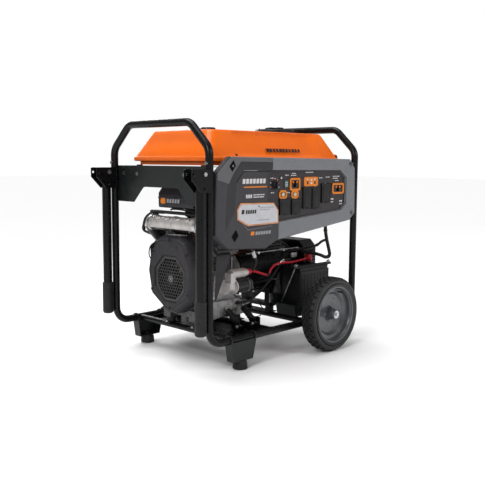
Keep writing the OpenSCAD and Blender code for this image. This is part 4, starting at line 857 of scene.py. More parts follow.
# flap details: a raised field, three ridges and a finger lip on each flap
OUTLETS = [(388, 614, 65, 66), (464, 613, 58, 64), (539, 634, 54, 92), (601, 631, 51, 94),
           (667, 655, 64, 84)]
for i, (x, z, w, h) in enumerate(OUTLETS, 1):
    flap = Shape()
    y = PLATE_Y - 7.5
    flap.slab(rect(x + 9, z + 4, x + w - 9, z + h - 14), y - 0.9, y + 0.2, 0, 0.7)
    for k in range(3):
        at = z + h - 22 - k * 5
        flap.slab(rect(x + 14, at, x + w - 14, at + 2), y - 1.6, y - 0.7, 0, 0.4)
    mid = x + w / 2
    flap.slab([(mid - 10, z - 2), (mid + 10, z - 2), (mid + 8, z + 2.5), (mid - 8, z + 2.5)],
              y - 2.4, y + 0.3, 0, 0.8)
    flap.piece(f"flap_detail_{i}", f"outlet_cover_{i}", flap_plastic, "black_plastic")

# ---------------------------------------------------------------- wheels

WHEEL_R = (high("tire_left").z - low("tire_left").z) / 2
WHEEL_X = (low("tire_left").x + high("tire_left").x) / 2
WHEEL_Z = (low("tire_left").z + high("tire_left").z) / 2


def tyre(side, sign):
    """Carcass with a rounded wall and two rows of staggered tread blocks."""
    y_mid = (low(f"tire_{side}").y + high(f"tire_{side}").y) / 2
    half = (high(f"tire_{side}").y - low(f"tire_{side}").y) / 2
    origin, axis = Vector((WHEEL_X, y_mid, WHEEL_Z)), Vector((0, sign, 0))
    base = WHEEL_R - 5.0
    block_foot, block_top = base - 2.5, WHEEL_R - 0.05
    shape = Shape()
    wall = [(118, -half + 11), (126, -half + 7.5), (131, -half + 4.2), (134, -half + 3.6),
            (136, -half + 5.0), (138.5, -half + 2.4), (143, -half + 0.7), (150, -half + 0.1),
            (154, -half + 1.2), (158, -half + 4.0), (base, -half + 9.5)]
    profile = wall + [(base, 0)] + [(r, -h) for r, h in wall[::-1]]
    profile += [(118, half - 14), (146, half - 9), (155, half - 16), (155, -half + 16),
                (146, -half + 9), (118, -half + 14)]
    shape.lathe(profile, origin, axis, 120, 1, closed=True)
    # tread: centre rib pieces and shoulder blocks that wrap over the edge
    u, v = across(axis)

    def spot(angle, offset, radius):
        return origin + axis * offset + (u * math.cos(angle) + v * math.sin(angle)) * radius

    def block(points):
        """One tread block from (angle, offset, drop in radius) corners."""
        cx = sum(p[0] for p in points) / len(points)
        cy = sum(p[1] for p in points) / len(points)
        loops = []
        for level, scale in ((0, 1.03), (0.75, 1.0), (1.0, 0.93)):
            loop = []
            for a, o, drop in points:
                r = block_foot + (block_top - block_foot) * level - drop
                loop.append(spot(cx + (a - cx) * scale, cy + (o - cy) * scale, r))
            loops.append(loop)
        shape.loft(loops)

    count = 34
    pitch = 2 * math.pi / count
    for k in range(count):
        for s in (-1, 1):
            a = k * pitch + (0.25 * pitch if s > 0 else -0.25 * pitch)
            w = pitch * 0.38
            flank = [(1, 14.5, 0), (1.02, 24, 0.1), (0.98, 30.5, 3.2), (0.80, 34.6, 9.4)]
            corners = [(a - w, s * 14.5, 0)] + [(a + w * wide, s * y, drop) for wide, y, drop in flank]
            corners += [(a - w * wide, s * y, drop) for wide, y, drop in flank[:0:-1]]
            block(corners[::s])
            b = a + pitch * 0.5
            block([(b - w * 0.9, s * 1.8, 0), (b + w * 0.55, s * 1.8, 0), (b + w * 1.05, s * 7, 0),
                   (b + w * 0.7, s * 12.2, 0), (b - w * 1.0, s * 12.2, 0), (b - w * 0.6, s * 7, 0)][::s])
    # raised rings on the walls, and the bead ring beside the rim
    for s in (-1, 1):
        edge = s * half
        shape.lathe([(146.2, edge - s * 2.0), (146.6, edge - s * 0.35), (148.6, edge - s * 0.15),
                     (149.2, edge - s * 1.5)], origin, axis, 120, 1, closed=True)
    bead = [(124.5, half - 6), (124.5, half - 1.6), (127, half - 0.3), (136, half - 0.2), (136, half - 6)]
    shape.lathe(bead, origin, axis, 120, 1, closed=True)
    shape.piece(f"tyre_{side}", f"wheel_{side}", [tread_rubber, wall_rubber], "tyre_rubber",
                (f"tire_{side}",))
    # hub collar
    rim = Shape()
    collar = [(20.5, 26.0), (21.5, 29.0), (21.0, 32.0), (17.5, 32.8), (17.5, 26)]
    rim.lathe(collar, origin, axis, 40, 0, closed=True)
    # rolled edge, and flush plugs in the six holes of the dish
    rolled = [(118.0, half - 5), (119.5, half - 1.2), (124.0, half - 1.0), (125.0, half - 2.2),
              (125.4, half - 6), (118.0, half - 8)]
    rim.lathe(rolled, origin, axis, 96, 0, closed=True)
    for c, s in spots(6, 74):
        rim.lathe([(5.4, -12), (5.4, -7.0), (4.6, -6.5)], origin + u * c + v * s, axis, 20, 0)
    rim.piece(f"rim_details_{side}", f"wheel_{side}", rim_paint, "rim_grey")
    valve = Shape()
    d = u * math.cos(1.1) + v * math.sin(1.1)
    stem = origin + d * 104 + axis * 6
    valve.lathe([(4.2, -2), (4.2, 5), (3.2, 12), (3.0, 22)], stem, axis, 14, 0)
    valve.lathe([(3.6, 20), (3.9, 22), (3.9, 28), (3.0, 29)], stem, axis, 12, 0)
    valve.piece(f"valve_{side}", f"wheel_{side}", rubber, "rubber_black")


tyre("left", -1)
tyre("right", 1)

# ---------------------------------------------------------------- handles

PIVOT_X = (low("handle_left").x + high("handle_left").x) / 2
PIVOT_Z, WASHER_OUT = 785.5, 19.05
for side, sign in (("left", -1), ("right", 1)):
    y = sign * HALF_W
    z0, z1 = low(f"handle_grip_{side}").z, high(f"handle_grip_{side}").z
    r = (high(f"handle_grip_{side}").y - low(f"handle_grip_{side}").y) / 2
    profile = [(0, z0), (r - 9, z0 + 0.4), (r - 4, z0 + 2.5), (r - 1.2, z0 + 6.5), (r - 0.2, z0 + 11)]
    z = z0 + 16
    while z < z1 - 16:
        profile += [(r - 0.1, z), (r - 0.1, z + 7), (r - 1.0, z + 8), (r - 1.0, z + 10), (r - 0.1, z + 11)]
        z += 11
    profile += [(r, z1 - 7), (r, z1 - 2), (r - 1.5, z1 - 0.4), (19.2, z1), (19.1, z0 + 5), (0, z0 + 4.2)]
    grip = Shape()
    grip.lathe(profile, (PIVOT_X, y, 0), UP, 40)
    grip.piece(f"grip_{side}", f"handle_{side}", rubber, "rubber_black", (f"handle_grip_{side}",))
    extra = Shape()
    # washers beside the pivot, and the weld seams of the bracket
    for s in (-1, 1):
        extra.lathe([(5.3, 0), (11, 0), (11, 0.35), (5.3, 0.4)], (PIVOT_X, y + s * WASHER_OUT, PIVOT_Z),
                    (0, s, 0), 24, 0, closed=True)
    extra.piece(f"pivot_washers_{side}", f"handle_{side}", zinc, "zinc")
    welds = Shape()
    for s in (-1, 1):
        path = [(FRONT_X - 6, y + s * 21.0, z) for z in range(722, 803, 8)]
        radii = [2.2 + 0.5 * (k % 2) for k in range(len(path))]
        welds.tube(path, 2.2, 8, radii=radii)
    welds.piece(f"bracket_welds_{side}", "chassis", powder, "frame_black")

# weld beads where the cross tubes meet the rails
beads = Shape()
for x in CROSS_X:
    for s in (-1, 1):
        ring_points = []
        for k in range(25):
            t = math.radians(15 * k)
            xx, zz = math.cos(t) * 13.4, math.sin(t) * 13.4
            touch = HALF_W - math.sqrt(max(1.0, TUBE_R ** 2 - zz ** 2)) - 0.6
            ring_points.append((x + xx, s * touch, RAIL_Z + zz))
        beads.tube(ring_points, 1.9, 6, radii=[1.7 + 0.5 * (k % 2) for k in range(25)])
beads.piece("weld_beads", "chassis", powder, "frame_black")

# ---------------------------------------------------------------- engine

HOUSING = [(52, 525), (98, 507), (139, 433), (152, 368), (129, 263), (55, 216), (30, 198)]
HOUSING = HOUSING + [(-y, z) for y, z in HOUSING[::-1]]
FACE_X = FRONT_X + 52
SCREW_SPOTS = [(106, 452), (-106, 452), (112, 290), (-112, 290), (0, 220), (0, 508)]


def eight(r):
    """An octagon round the crankshaft, r from the centre to a corner."""
    return [(y, CRANK_Z + dz) for y, dz in spots(8, r, 22.5)]


def reach(outline, angle):
    """Distance from the crankshaft to an outline of (y, z) points, along an angle."""
    d = Vector((math.cos(angle), math.sin(angle)))
    far = 0.0
    for (y0, z0), (y1, z1) in zip(outline, outline[1:] + outline[:1]):
        a, e = Vector((y0, z0 - CRANK_Z)), Vector((y1 - y0, z1 - z0))
        cross = d.x * e.y - d.y * e.x
        if abs(cross) < 1e-9:
            continue
        t = (a.x * e.y - a.y * e.x) / cross
        part = (a.x * d.y - a.y * d.x) / cross
        if t > 0 and -1e-6 <= part <= 1 + 1e-6:
            far = max(far, t)
    return far


angles = sorted({round(math.atan2(z - CRANK_Z, y), 4)
                 for line in (HOUSING, inset(HOUSING, 17), eight(100)) for y, z in line})


def housing_row(x, outline):
    rows = []
    for a in angles:
        r = min(reach(outline, a), reach(HOUSING, a))
        rows.append((x, math.cos(a) * r, CRANK_Z + math.sin(a) * r))
    return rows


blower = Shape()
blower.loft([housing_row(FACE_X + depth, line) for depth, line in (
    (69.9, HOUSING), (20, HOUSING), (1.2, inset(HOUSING, 15.5)), (0, inset(HOUSING, 17)),
    (0, inset(HOUSING, 20)), (2.6, inset(HOUSING, 21)), (2.6, inset(HOUSING, 22.4)),
    (0.4, inset(HOUSING, 23.4)), (0.4, eight(107)), (2.4, eight(103.5)), (7.5, eight(101)),
    (12, eight(100.5)), (12, eight(106)), (5.5, inset(HOUSING, 22)), (22, inset(HOUSING, 4)),
    (69.9, inset(HOUSING, 4)))], 0, ring=True)
# seam round the sides where the two halves of the shell meet, and screw bosses
blower.loft([housing_row(FACE_X + depth, inset(HOUSING, -rise)) for depth, rise in
             ((42, -1), (42.6, 1.2), (47.4, 1.2), (48, -1))], 0, ring=True)
for y, z in SCREW_SPOTS:
    blower.lathe([(9, 0), (9, 13), (7.5, 14.5)], (FACE_X + 12, y, z), AHEAD, 24)
# an embossed badge field with slots, left plain
badge = [(14, 470), (-44, 466), (-52, 474), (-48, 490), (14, 494), (20, 486)]
blower.sheet(badge[::-1], FACE_X - 1.2, FACE_X + 1.5, 0, 0.8)
for k in range(3):
    y = 4 - 16 * k
    blower.sheet([(y, 476 - k), (y - 12, 475 - k), (y - 12, 486 - k), (y, 487 - k)][::-1],
                 FACE_X - 2.6, FACE_X - 1.0, 0, 0.5)
blower.piece("blower_shell", "chassis", housing, "housing_grey", ("blower_housing",))

# honeycomb grille: each cell is an open hexagon, and neighbours share their edges
MESH_X, PITCH, WEB, DEPTH = FACE_X + 6.5, 15.0, 1.35, 2.2
grille = Shape()
step_z = PITCH * math.sqrt(3) / 2


def fits(y, z):
    flat = 99 * math.cos(math.radians(22.5))
    dy, dz = abs(y), abs(z - CRANK_Z)
    return dy < flat - 5 and dz < flat - 5 and (dy + dz) / math.sqrt(2) < flat - 5


cells = {}
for row in range(-9, 10):
    for col in range(-9, 10):
        y, z = (col + (row % 2) / 2) * PITCH, CRANK_Z + row * step_z
        if fits(y, z):
            cells[(row, col)] = (y, z)
corner_r = PITCH / math.sqrt(3)
for (row, col), (y, z) in cells.items():
    outer, inner = ([(y + dy, z + dz) for dy, dz in spots(6, r, 30)] for r in (corner_r, corner_r - WEB))
    odd = row % 2
    sides = [(row + 1, col + odd), (row + 1, col - 1 + odd), (row, col - 1),
             (row - 1, col - 1 + odd), (row - 1, col + odd), (row, col + 1)]
    points = [(x, *p) for x in (MESH_X, MESH_X + DEPTH) for ring in (outer, inner) for p in ring]
    faces = []
    for k in range(6):
        n = (k + 1) % 6
        faces += [[k, n, 6 + n, 6 + k], [12 + k, 18 + k, 18 + n, 12 + n], [6 + k, 6 + n, 18 + n, 18 + k]]
        if sides[k] not in cells:
            faces.append([k, 12 + k, 12 + n, n])
    grille.add(points, faces, 0)
edge_rows = [(MESH_X, eight(101.5)), (MESH_X, eight(90)), (MESH_X + DEPTH, eight(90)),
             (MESH_X + DEPTH, eight(101.5))]
grille.loft(cross_loops(edge_rows), 0, ring=True)
grille.piece("grille_mesh", "chassis", mesh_grey, "housing_grey", ("fan_grille",), flat=True)
# a thin black ring round the grille recess stands for the shadow of its lip: painted shadow
lip_shadow_ring = Shape()
lip_shadow_ring.loft(cross_loops([(FACE_X - 0.2, eight(108)), (FACE_X - 0.2, eight(104.5)),
                           (FACE_X + 6, eight(100.3)), (FACE_X + 6, eight(106))]), 0, ring=True)
lip_shadow_ring.piece("grille_lip_shadow", "chassis", plastic, "black_plastic", flat=True)

# a black plate behind the fan that stands for the shade inside the housing, painted shade: its near and far
# faces
SHADE_PLATE_NEAR, SHADE_PLATE_FAR = FRONT_X + 98, FRONT_X + 100
shade_plate = Shape()
shade_plate.loft([housing_row(x, line) for x, line in (
    (SHADE_PLATE_NEAR, eight(100)), (SHADE_PLATE_NEAR, inset(HOUSING, 3)), (SHADE_PLATE_FAR, inset(HOUSING, 3)),
    (SHADE_PLATE_FAR, eight(100)))], 0, ring=True)
shade_plate.piece("fan_shade_plate", "chassis", plastic, "black_plastic", flat=True)

housing_bolts = Shape()
for y, z in SCREW_SPOTS:
    housing_bolts.bolt((FACE_X - 2.4, y, z), AHEAD, 4.2, 2.4, 0.8)
housing_bolts.piece("housing_bolts", "chassis", plastic, "black_plastic")

# rotating debris screen seen through the grille
screen = Shape()
SCREEN_X = FRONT_X + 95.5
SCREEN_HUB = (SCREEN_X, 0, CRANK_Z)
screen.lathe(rect(31, 0, 66, 1.6), SCREEN_HUB, AHEAD, 64, 0, closed=True)
for r, wide in ((33, 4), (60, 5)):
    screen.lathe([(r, 0), (r, 5), (r + wide, 5), (r + wide, 0)], SCREEN_HUB, AHEAD, 56, 0, closed=True)
for c, sn in spots(24, 1):
    screen.tube([(SCREEN_X - 5, r * c, CRANK_Z + r * sn) for r in (35, 62)], 1.6, 6, 0)
for y, dz in spots(6, 48, 20):
    screen.bolt((SCREEN_X - 3, y, CRANK_Z + dz), AHEAD, 6.5, 5, 1.5, 1)
screen.piece("debris_screen", "crankshaft", [brass, bright], "steel_dark")

# air cleaner: lid seam, clips, ribs and a plain mark
AX = FRONT_X + 85
cleaner = Shape()
band = rect(AX - 0.5, -107, AX + 187, 107)
cleaner.loft([[(x, y, z) for x, y in inset(band, d)]
              for z, d in ((676, 0.6), (677.5, -1.6), (682, -1.6), (683.5, 0.6))], 0)
for y in (-62, -20, 22, 64):
    cleaner.box((AX + 22, y - 3, 741), (AX + 166, y + 3, 745.5))
for s in (-1, 1):
    cleaner.box((AX + 70, s * 112 - 3, 655), (AX + 108, s * 112 + 3, 702), 1)
    clip = [(66, s * 114, 664), (66, s * 116, 696), (112, s * 116, 696), (112, s * 114, 664)]
    cleaner.tube(shifted(AX, clip), 1.8, 8, 2)
cleaner.piece("cleaner_details", "chassis", [cleaner_plastic, plastic, zinc], "housing_grey", bevel=0.5)

cleaner_print = Shape()
PRINT_NEAR, PRINT_FAR = AX - 2.4, AX + 0.2
cleaner_print.sheet([(86, 655), (64, 655), (60, 660), (60, 674), (64, 679), (86, 679), (90, 674), (90, 660)],
                    PRINT_NEAR, PRINT_FAR, 0)
for k in range(5):
    y = 50 - k * 17
    letter = [(y, 660), (y - 11, 660), (y - 13, 676), (y - 2, 676)]
    cleaner_print.sheet(letter, PRINT_NEAR, PRINT_FAR, 1)
cleaner_print.piece("cleaner_print", "chassis", [print_orange, print_grey], "white_plastic")

# intake: flange bolts, clamps and short stubs, then the small hoses
intake = Shape()
MX, MZ = FRONT_X + 88, 572
for y in (-120, 0, 120):
    for dx, dz in spots(4, 35, 45):
        intake.bolt((MX + dx, y + 4, MZ + dz), (0, 1, 0), 3.2, 2.5, 0.8, 1)
for y in (-146, 146):
    intake.sleeve((MX, y, MZ), (0, 1, 0), 31.4, 7, 1.8, 48, 1)
    intake.box((MX - 8, y - 6, MZ + 30), (MX + 8, y + 6, MZ + 39), 1)
for y in (-96, -34, 34, 92):
    intake.tube([(MX - 18, y - 15, MZ + 24), (MX - 24, y, MZ + 20.5), (MX - 18, y + 15, MZ + 24)], 4.5, 10, 0)
intake.piece("intake_details", "chassis", [bright, zinc, plastic], "bright_aluminium", bevel=0.4)
hoses = Shape()
hoses.tube(curve_path(shifted(MX, [(30, 110, 612), (6, 150, 613), (4, 180, 604), (4, 207, 584),
                                  (5, 222, 553), (6, 220, 530), (26, 196, 516)])), 5.5, 12)
hoses.tube(curve_path(shifted(MX, [(16, 168, 618), (-6, 120, 622), (-12, 40, 622), (-10, -50, 620),
                                  (-2, -110, 616), (22, -140, 610)])), 5.0, 12)
hoses.tube(curve_path(shifted(MX, [(26, 60, 628), (4, 20, 634), (2, -40, 634), (20, -90, 626)])), 4, 10)
hoses.tube(curve_path(shifted(FRONT_X, [(128, 150, 490), (92, 168, 470), (78, 166, 430),
                                  (92, 154, 396), (120, 148, 384)])), 2.5, 10)
hoses.sleeve((MX + 5, 221, 541), (0, 0.1, 1), 7, 8, n=18)
hoses.piece("intake_hoses", "chassis", black_sheath, "loom_black")

# cylinders, heads and crankcase details
engine = Shape()
for side in (-1, 1):
    turn = Matrix.Rotation(math.radians(-side * 45), 4, "X")
    base = Matrix.Translation((ENGINE_X + side * 22, 0, CRANK_Z)) @ turn

    def at(x, y, z):
        return base @ Vector((x, y, z))

    up = turn @ Vector(UP)
    for x in (-44, 0, 44):
        for y in (-36, 36):
            engine.bolt(at(x, y, 265), up, 5, 4, 1.4, 0)
    for k in range(5):
        section = rect(-32 + 15 * k, 264.5, -28 + 15 * k, 268.5)
        engine.loft([[at(x, y, z) for x, z in section] for y in (-30, 30)], 1)
    for y in (-56, 56):
        for k in range(3):
            z = 211 + 9 * k
            section = rect(-60, y - 3, 60, y + 3)
            engine.loft([[at(px, py, pz) for px, py in section] for pz in (z, z + 3)], 1)
# crankcase side cover with its bolts, and the flange round the sump
SIDE_COVER = [(140, 254), (320, 254), (326, 262), (326, 340), (318, 350), (142, 350), (134, 340), (134, 262)]
for s in (-1, 1):
    engine.slab(SIDE_COVER, s * 104 - (4 if s < 0 else 2), s * 104 + (2 if s < 0 else 4), 1)
    for x, z in ((142, 262), (142, 342), (230, 346), (318, 342), (318, 262), (200, 258)):
        engine.bolt((FRONT_X + x, s * 108, z), (0, s, 0), 5.5, 4.5, 1.5, 0)
    near, far = sorted((s * 121.5, s * 127))
    engine.slab([(121, 222), (408, 219), (408, 213), (121, 216)], near, far, 1)
    for x in (150, 196, 242, 288, 334, 380):
        engine.bolt((FRONT_X + x, s * 124, 221), UP, 5, 4, 1.2, 0)
    for x in (170, 216, 306, 338):
        engine.slab(rect(x, 172 if x < 250 else 204, x + 5, 240), near, far - 1.5 if s > 0 else far, 1)
    for x in (ENGINE_X - 60, ENGINE_X - 10, ENGINE_X + 40, ENGINE_X + 90):
        engine.box((x, s * 104 - 5, 352), (x + 5, s * 104 + 5, 423), 1)
engine.piece("engine_details", "chassis", [zinc, cast], "cast_aluminium", bevel=0.4)

hardware = Shape()
# oil filter with flutes, dipstick tube and drain hose, all on the far side
FX, FZ = ENGINE_X + 62, 282
hardware.lathe([(38.6, 0), (39.0, 4), (38.4, 8), (38.2, 50), (36.5, 57), (30, 61.5), (14, 62.5), (0, 62)],
               (FX, 103, FZ), (0, 1, 0), 48, 0)
for c, sn in spots(14, 1):
    hardware.tube([(FX + r * c, y, FZ + r * sn) for r, y in ((37.4, 148), (35.2, 160))], 2.2, 6, 0)
hardware.tube(curve_path(shifted(ENGINE_X, [(-60, 120, 236), (-62, 142, 280), (-62, 152, 330)])), 6, 12, 1)
hardware.lathe([(9, 0), (10, 3), (10, 12), (7, 15), (3, 16)], (ENGINE_X - 62, 152, 328), (0, 0.15, 1), 20, 0)
hardware.tube(curve_path(shifted(FRONT_X, [(152, 124, 196), (150, 150, 190), (156, 176, 178),
                                           (172, 200, 168)])), 6.5, 12, 0)
hardware.piece("engine_hardware", "chassis", [plastic, zinc], "black_plastic")

# starter: end cap screws, band, through bolts, solenoid studs and bracket bolts
starter = Shape()
SX, SY = FRONT_X + 228, -196
MOTOR_Z, SOLENOID_Z = 316, 368
starter.lathe([(30.6, 0), (31.4, 1), (31.4, 11), (30.6, 12)], (SX + 78, SY, MOTOR_Z), ALONG, 40, 2)
starter.lathe([(30.2, 7), (30.9, 8), (30.9, 76), (30.2, 77)], (SX, SY, MOTOR_Z), ALONG, 40, 2, closed=True)
starter.lathe([(30.6, 0), (31.6, 1), (31.6, 5), (30.6, 6)], (SX + 3, SY, MOTOR_Z), ALONG, 40, 0)
for t in (0.6, 0.6 + math.pi):
    p = Vector((SX, SY + 26 * math.cos(t), MOTOR_Z + 26 * math.sin(t)))
    starter.bolt(p + Vector((101.5, 0, 0)), ALONG, 3.6, 3, 1, 1)
starter.lathe([(19.4, 0), (20.2, 1), (20.2, 7), (19.4, 8)], (SX - 10, SY, SOLENOID_Z), ALONG, 36, 0)
starter.lathe([(19.4, 0), (20.2, 1), (20.2, 5), (19.4, 6)], (SX + 60, SY, SOLENOID_Z), ALONG, 36, 0)
for dy in (-8, 8):
    starter.bolt((SX + 84, SY + dy, 358), ALONG, 3, 3, 1, 1)
for z in (296, 338):
    starter.bolt((SX - 34.2, -150, z), AHEAD, 6, 5, 1.5, 1)
    starter.bolt((SX - 34.2, -128, z - 4), AHEAD, 6, 5, 1.5, 1)
starter.piece("starter_details", "chassis", [bright, zinc, starter_black], "bright_aluminium", bevel=0.3)

# engine mounts: collars and bolts on the cradle
mounts = Shape()
for x in CROSS_X[:2]:
    for y in (-82, 82):
        mounts.lathe([(24, 0), (24, 1.6), (20.4, 2.4)], (x, y, 140.9), UP, 32, 1)
        for dx in (-24, 24):
            mounts.bolt((x + dx, y, 141), UP, 5, 4, 1.4, 0)
# side dampers: rubber bellows rings, rods, pivot bolts and stud nuts
for s in (-1, 1):
    for x in (FRONT_X + 262, FRONT_X + 356):
        top, foot = Vector((x, s * 136, 201.75)), Vector((x, s * 200, 151.75))
        along = (foot - top).normalized()
        for k in range(5):
            mounts.lathe([(12.5, -2.6), (14.8, -1.2), (14.8, 1.2), (12.5, 2.6)], top + along * (12 + 13 * k),
                         along, 28, 2)
        mounts.lathe([(9, -3), (10, -2), (10, 4), (9, 5)], top, along, 6, 0)
        mounts.tube([foot + along * 0.5, foot + along * 13], 5.3, 14, 0)
        for d in (-1, 1):
            mounts.bolt((x + d * 18, s * 210, 143.94), (d, 0, 0), 6.5, 5, 1.8, 0)
mounts.piece("mount_hardware", "chassis", [zinc, powder, rubber], "zinc")

# ---------------------------------------------------------------- alternator

BARREL_X = FRONT_X + 372
alt = Shape()
for k in range(28):
    t = math.radians(360 / 28 * k)
    if abs(math.cos(t)) > 0.97 and math.sin(t) < 0:
        continue
    c, s = math.cos(t), math.sin(t)
    e = Vector((0, -s, c))
    d = Vector((0, c, s))
    fin = [[Vector((x, 0, CRANK_Z)) + d * 104.5 - e * 1.6, Vector((x, 0, CRANK_Z)) + d * 104.5 + e * 1.6,
            Vector((x, 0, CRANK_Z)) + d * 108.5 + e * 1.0, Vector((x, 0, CRANK_Z)) + d * 108.5 - e * 1.0]
           for x in (BARREL_X + 22, BARREL_X + 352)]
    alt.loft(fin, 0)
for y, dz in spots(4, 104, 45):
    alt.bolt((BARREL_X + 374, y, CRANK_Z + dz), ALONG, 6, 5, 1.5, 1)
for y, z in ((-104, 282), (-104, 424), (104, 282), (104, 424)):
    alt.bolt((BARREL_X + 492, y, z), ALONG, 4.5, 3.5, 1.2, 1)
alt.slab(rect(712, 384, 752, 406), -106.4, -101.0, 2)
alt.piece("alternator_details", "chassis", [powder, zinc, print_white], "frame_black", bevel=0.3)

foot = Shape()
for s in (-1, 1):
    near, far = sorted((s * 89.5, s * 95))
    foot.slab([(576, 184), (634, 184), (634, 222), (628, 228), (576, 228)], near, far, 0)
    near, far = sorted((s * 94.5, s * 100))
    for k in range(5):
        foot.slab(rect(579, 188 + 8 * k, 631, 191.5 + 8 * k), near, far, 0)
    for x in (584, 626):
        foot.bolt((FRONT_X + x, s * 98, 208), (0, s, 0), 5, 4, 1.4, 1)
foot.piece("alternator_foot_ribs", "chassis", [cast, zinc], "cast_aluminium", bevel=0.4)

hanger = Shape()
HANGING = [(312, -215, 500), (318, -216, 470), (338, -215, 446), (352, -214, 415), (350, -205, 385),
           (336, -190, 360), (322, -150, 340), (316, -112, 330)]
hanger.tube(curve_path(shifted(FRONT_X, HANGING)), 6.5, 14, 0)
a, b = Vector((FRONT_X + 330, -215, 458)), Vector((FRONT_X + 345, -214.5, 430))
hanger.tube([a, a.lerp(b, 0.1), a.lerp(b, 0.9), b], 8, 18, 1, radii=[7.2, 8.0, 8.0, 7.2])
a, b = Vector((FRONT_X + 520, -190, 378)), Vector((FRONT_X + 560, -190, 398))
hanger.tube([a, b], 3.2, 10, 2)
hanger.sleeve((FRONT_X + 566, -179, 385), (0.9, -0.1, 0.1), 8, 5, 1.2, 24, 2)
hanger.tube([(FRONT_X + 390, -118, 431), (FRONT_X + 740, -122, 431)], 2.4, 10, 2)
for x in (470, 640):
    hanger.box((FRONT_X + x - 5, -122, 424), (FRONT_X + x + 5, -96, 434), 2)
hanger.piece("hanging_lead", "chassis", [black_sheath, print_white, zinc], "loom_black")

# ---------------------------------------------------------------- battery

BX, BY = FRONT_X + 721, -186.0
bat = Shape()
BASE_Z, TOP = 196, 354
for s in (-1, 1):
    for k in range(9):
        x = BX - 92 + 23 * k
        bat.box((x - 3, BY + s * 55 - 1.2, BASE_Z + 34), (x + 3, BY + s * 55 + 1.2, BASE_Z + 128), 0)
for x in (BX - 62, BX, BX + 62):
    bat.lathe([(11, 0), (11, 2.4), (9, 3.2), (3, 3.2)], (x, BY - 8, TOP), UP, 24, 0)
    bat.box((x - 8, BY - 9, TOP + 2.5), (x + 8, BY - 7, TOP + 4), 0)
for x in (BX - 66, BX + 66):
    bat.lathe([(7, 0), (6.6, 6), (6, 12)], (x, BY + 35, TOP + 2), UP, 20, 1)
bat.box((BX - 104.6, BY - 55.5, BASE_Z + 138), (BX + 104.6, BY + 55.5, BASE_Z + 143), 0)
bat.piece("battery_details", "chassis", [plastic, zinc], "black_plastic", bevel=0.5)

rods = Shape()
for x, foot_y in ((BX - 112, BY + 50), (BX + 124, BY + 30)):
    a, b = Vector((x, BY - 38, TOP + 18)), Vector((x, foot_y, BASE_Z - 9))
    d = (b - a).normalized()
    rods.bolt(a + d * 8, -d, 7, 6, 2, 0)
    # rolled thread at the upper end
    thread = [a + d * (0.9 * k) for k in range(34)]
    rods.tube(thread, 3.2, 10, 0, radii=[3.35 - 0.35 * (k % 2) for k in range(len(thread))])
rods.piece("rod_hardware", "chassis", zinc, "zinc")
pad = Shape()
pad_x = BX - FRONT_X
pad.slab(rect(pad_x - 118, TOP - 1, pad_x + 132, TOP + 10), BY - 47, BY - 27, 0)
pad.piece("hold_down_pad", "chassis", rubber, "rubber_black", bevel=2.5, segments=3)

# ---------------------------------------------------------------- cables

RED = [(370, -151, 386), (330, -158, 381), (292, -164, 378), (203, -176, 377), (143, -186, 384),
       (90, -191, 381), (52, -196, 366), (27, -201, 343), (-12, -201, 352), (-56, -200, 366),
       (-92, -196, 370)]
LOOM = [(358, -249, 640), (369, -246, 570), (375, -242, 520), (389, -241, 470), (405, -240, 430),
        (415, -238, 398), (390, -236, 390), (360, -226, 402), (345, -190, 410), (340, -131, 412)]
BRANCH = [(389, -241, 474), (353, -240, 468), (318, -236, 452), (296, -200, 440), (280, -150, 425),
          (262, -84, 412)]
BLACK = [(238, -151, 373), (222, -148, 386), (182, -142, 372), (102, -140, 300), (32, -138, 250),
         (-38, -136, 225), (-90, -128, 222)]
SENSOR = [(-96, -124, 222), (-104, -165, 236), (-110, -200, 240), (-88, -214, 245),
          (-57, -221, 231), (-27, -221, 202), (-38, -221, 177), (-48, -214, 172), (-56, -204, 167.5)]


def even(path, step):
    """The same path with points at an even spacing."""
    out, carry = [path[0]], 0.0
    for a, b in zip(path, path[1:]):
        span = (b - a).length
        at = step - carry
        while at < span:
            out.append(a.lerp(b, at / span))
            at += step
        carry = span - (at - step)
    out.append(path[-1])
    return out


def conduit(shape, route, radius, slot=0):
    """Corrugated conduit: the radius steps up and down along the route."""
    path = even(curve_path(route, 8), 1.6)
    radii = [radius * (1.0 if k % 3 else 0.86) for k in range(len(path))]
    shape.tube(path, radius, 12, slot, radii=radii)


red = Shape()
red.tube(curve_path(RED, 8), 5, 14, 0)
BATTERY_BOOT = [(8, 30), (13, 29), (16.5, 22), (17, 12), (17, 3), (16, 0), (8, 0)]
STARTER_BOOT = [(7, 0), (11, 0.5), (12, 4), (12, 20), (9, 25), (6, 26), (5, 20), (5, 4)]
red.lathe(BATTERY_BOOT, (366, -151, 368.2), UP, 28, 0)
red.lathe(STARTER_BOOT, (-104, -196, 369), ALONG, 24, 0)
red.sleeve((27, -201, 343), (0.8, 0, 0.1), 5, 9, 1.4, 16, 1)
red.piece("red_cable", "chassis", [red_sheath, black_sheath], "cable_red", ("red_battery_cable",))

loom = Shape()
conduit(loom, LOOM, 8.2)
conduit(loom, BRANCH, 6.2)
loom.tube(curve_path(BLACK, 8), 5, 12, 1)
loom.tube(curve_path(SENSOR, 8), 2, 10, 1)
for route, r in ((LOOM, 8.2), (BRANCH, 6.2)):
    path = even(curve_path(route, 8), 4)
    for share in (0.3, 0.62):
        k = int(len(path) * share)
        d = (path[k + 1] - path[k]).normalized()
        loom.sleeve(path[k], d, r, 5, slot=1)
for end, past, d in ((BLACK[0], (0, 0, -4), UP), (BLACK[-1], (5, -1, 0), (-1, 0.15, -0.05))):
    loom.lathe([(5, -6), (8, -5), (8.5, 6), (6, 9)], Vector(end) + Vector(past), d, 18, 1)
loom.piece("loom", "chassis", [black_sheath, black_sheath], "loom_black", ("wiring_loom",))

# ---------------------------------------------------------------- light, floor and camera


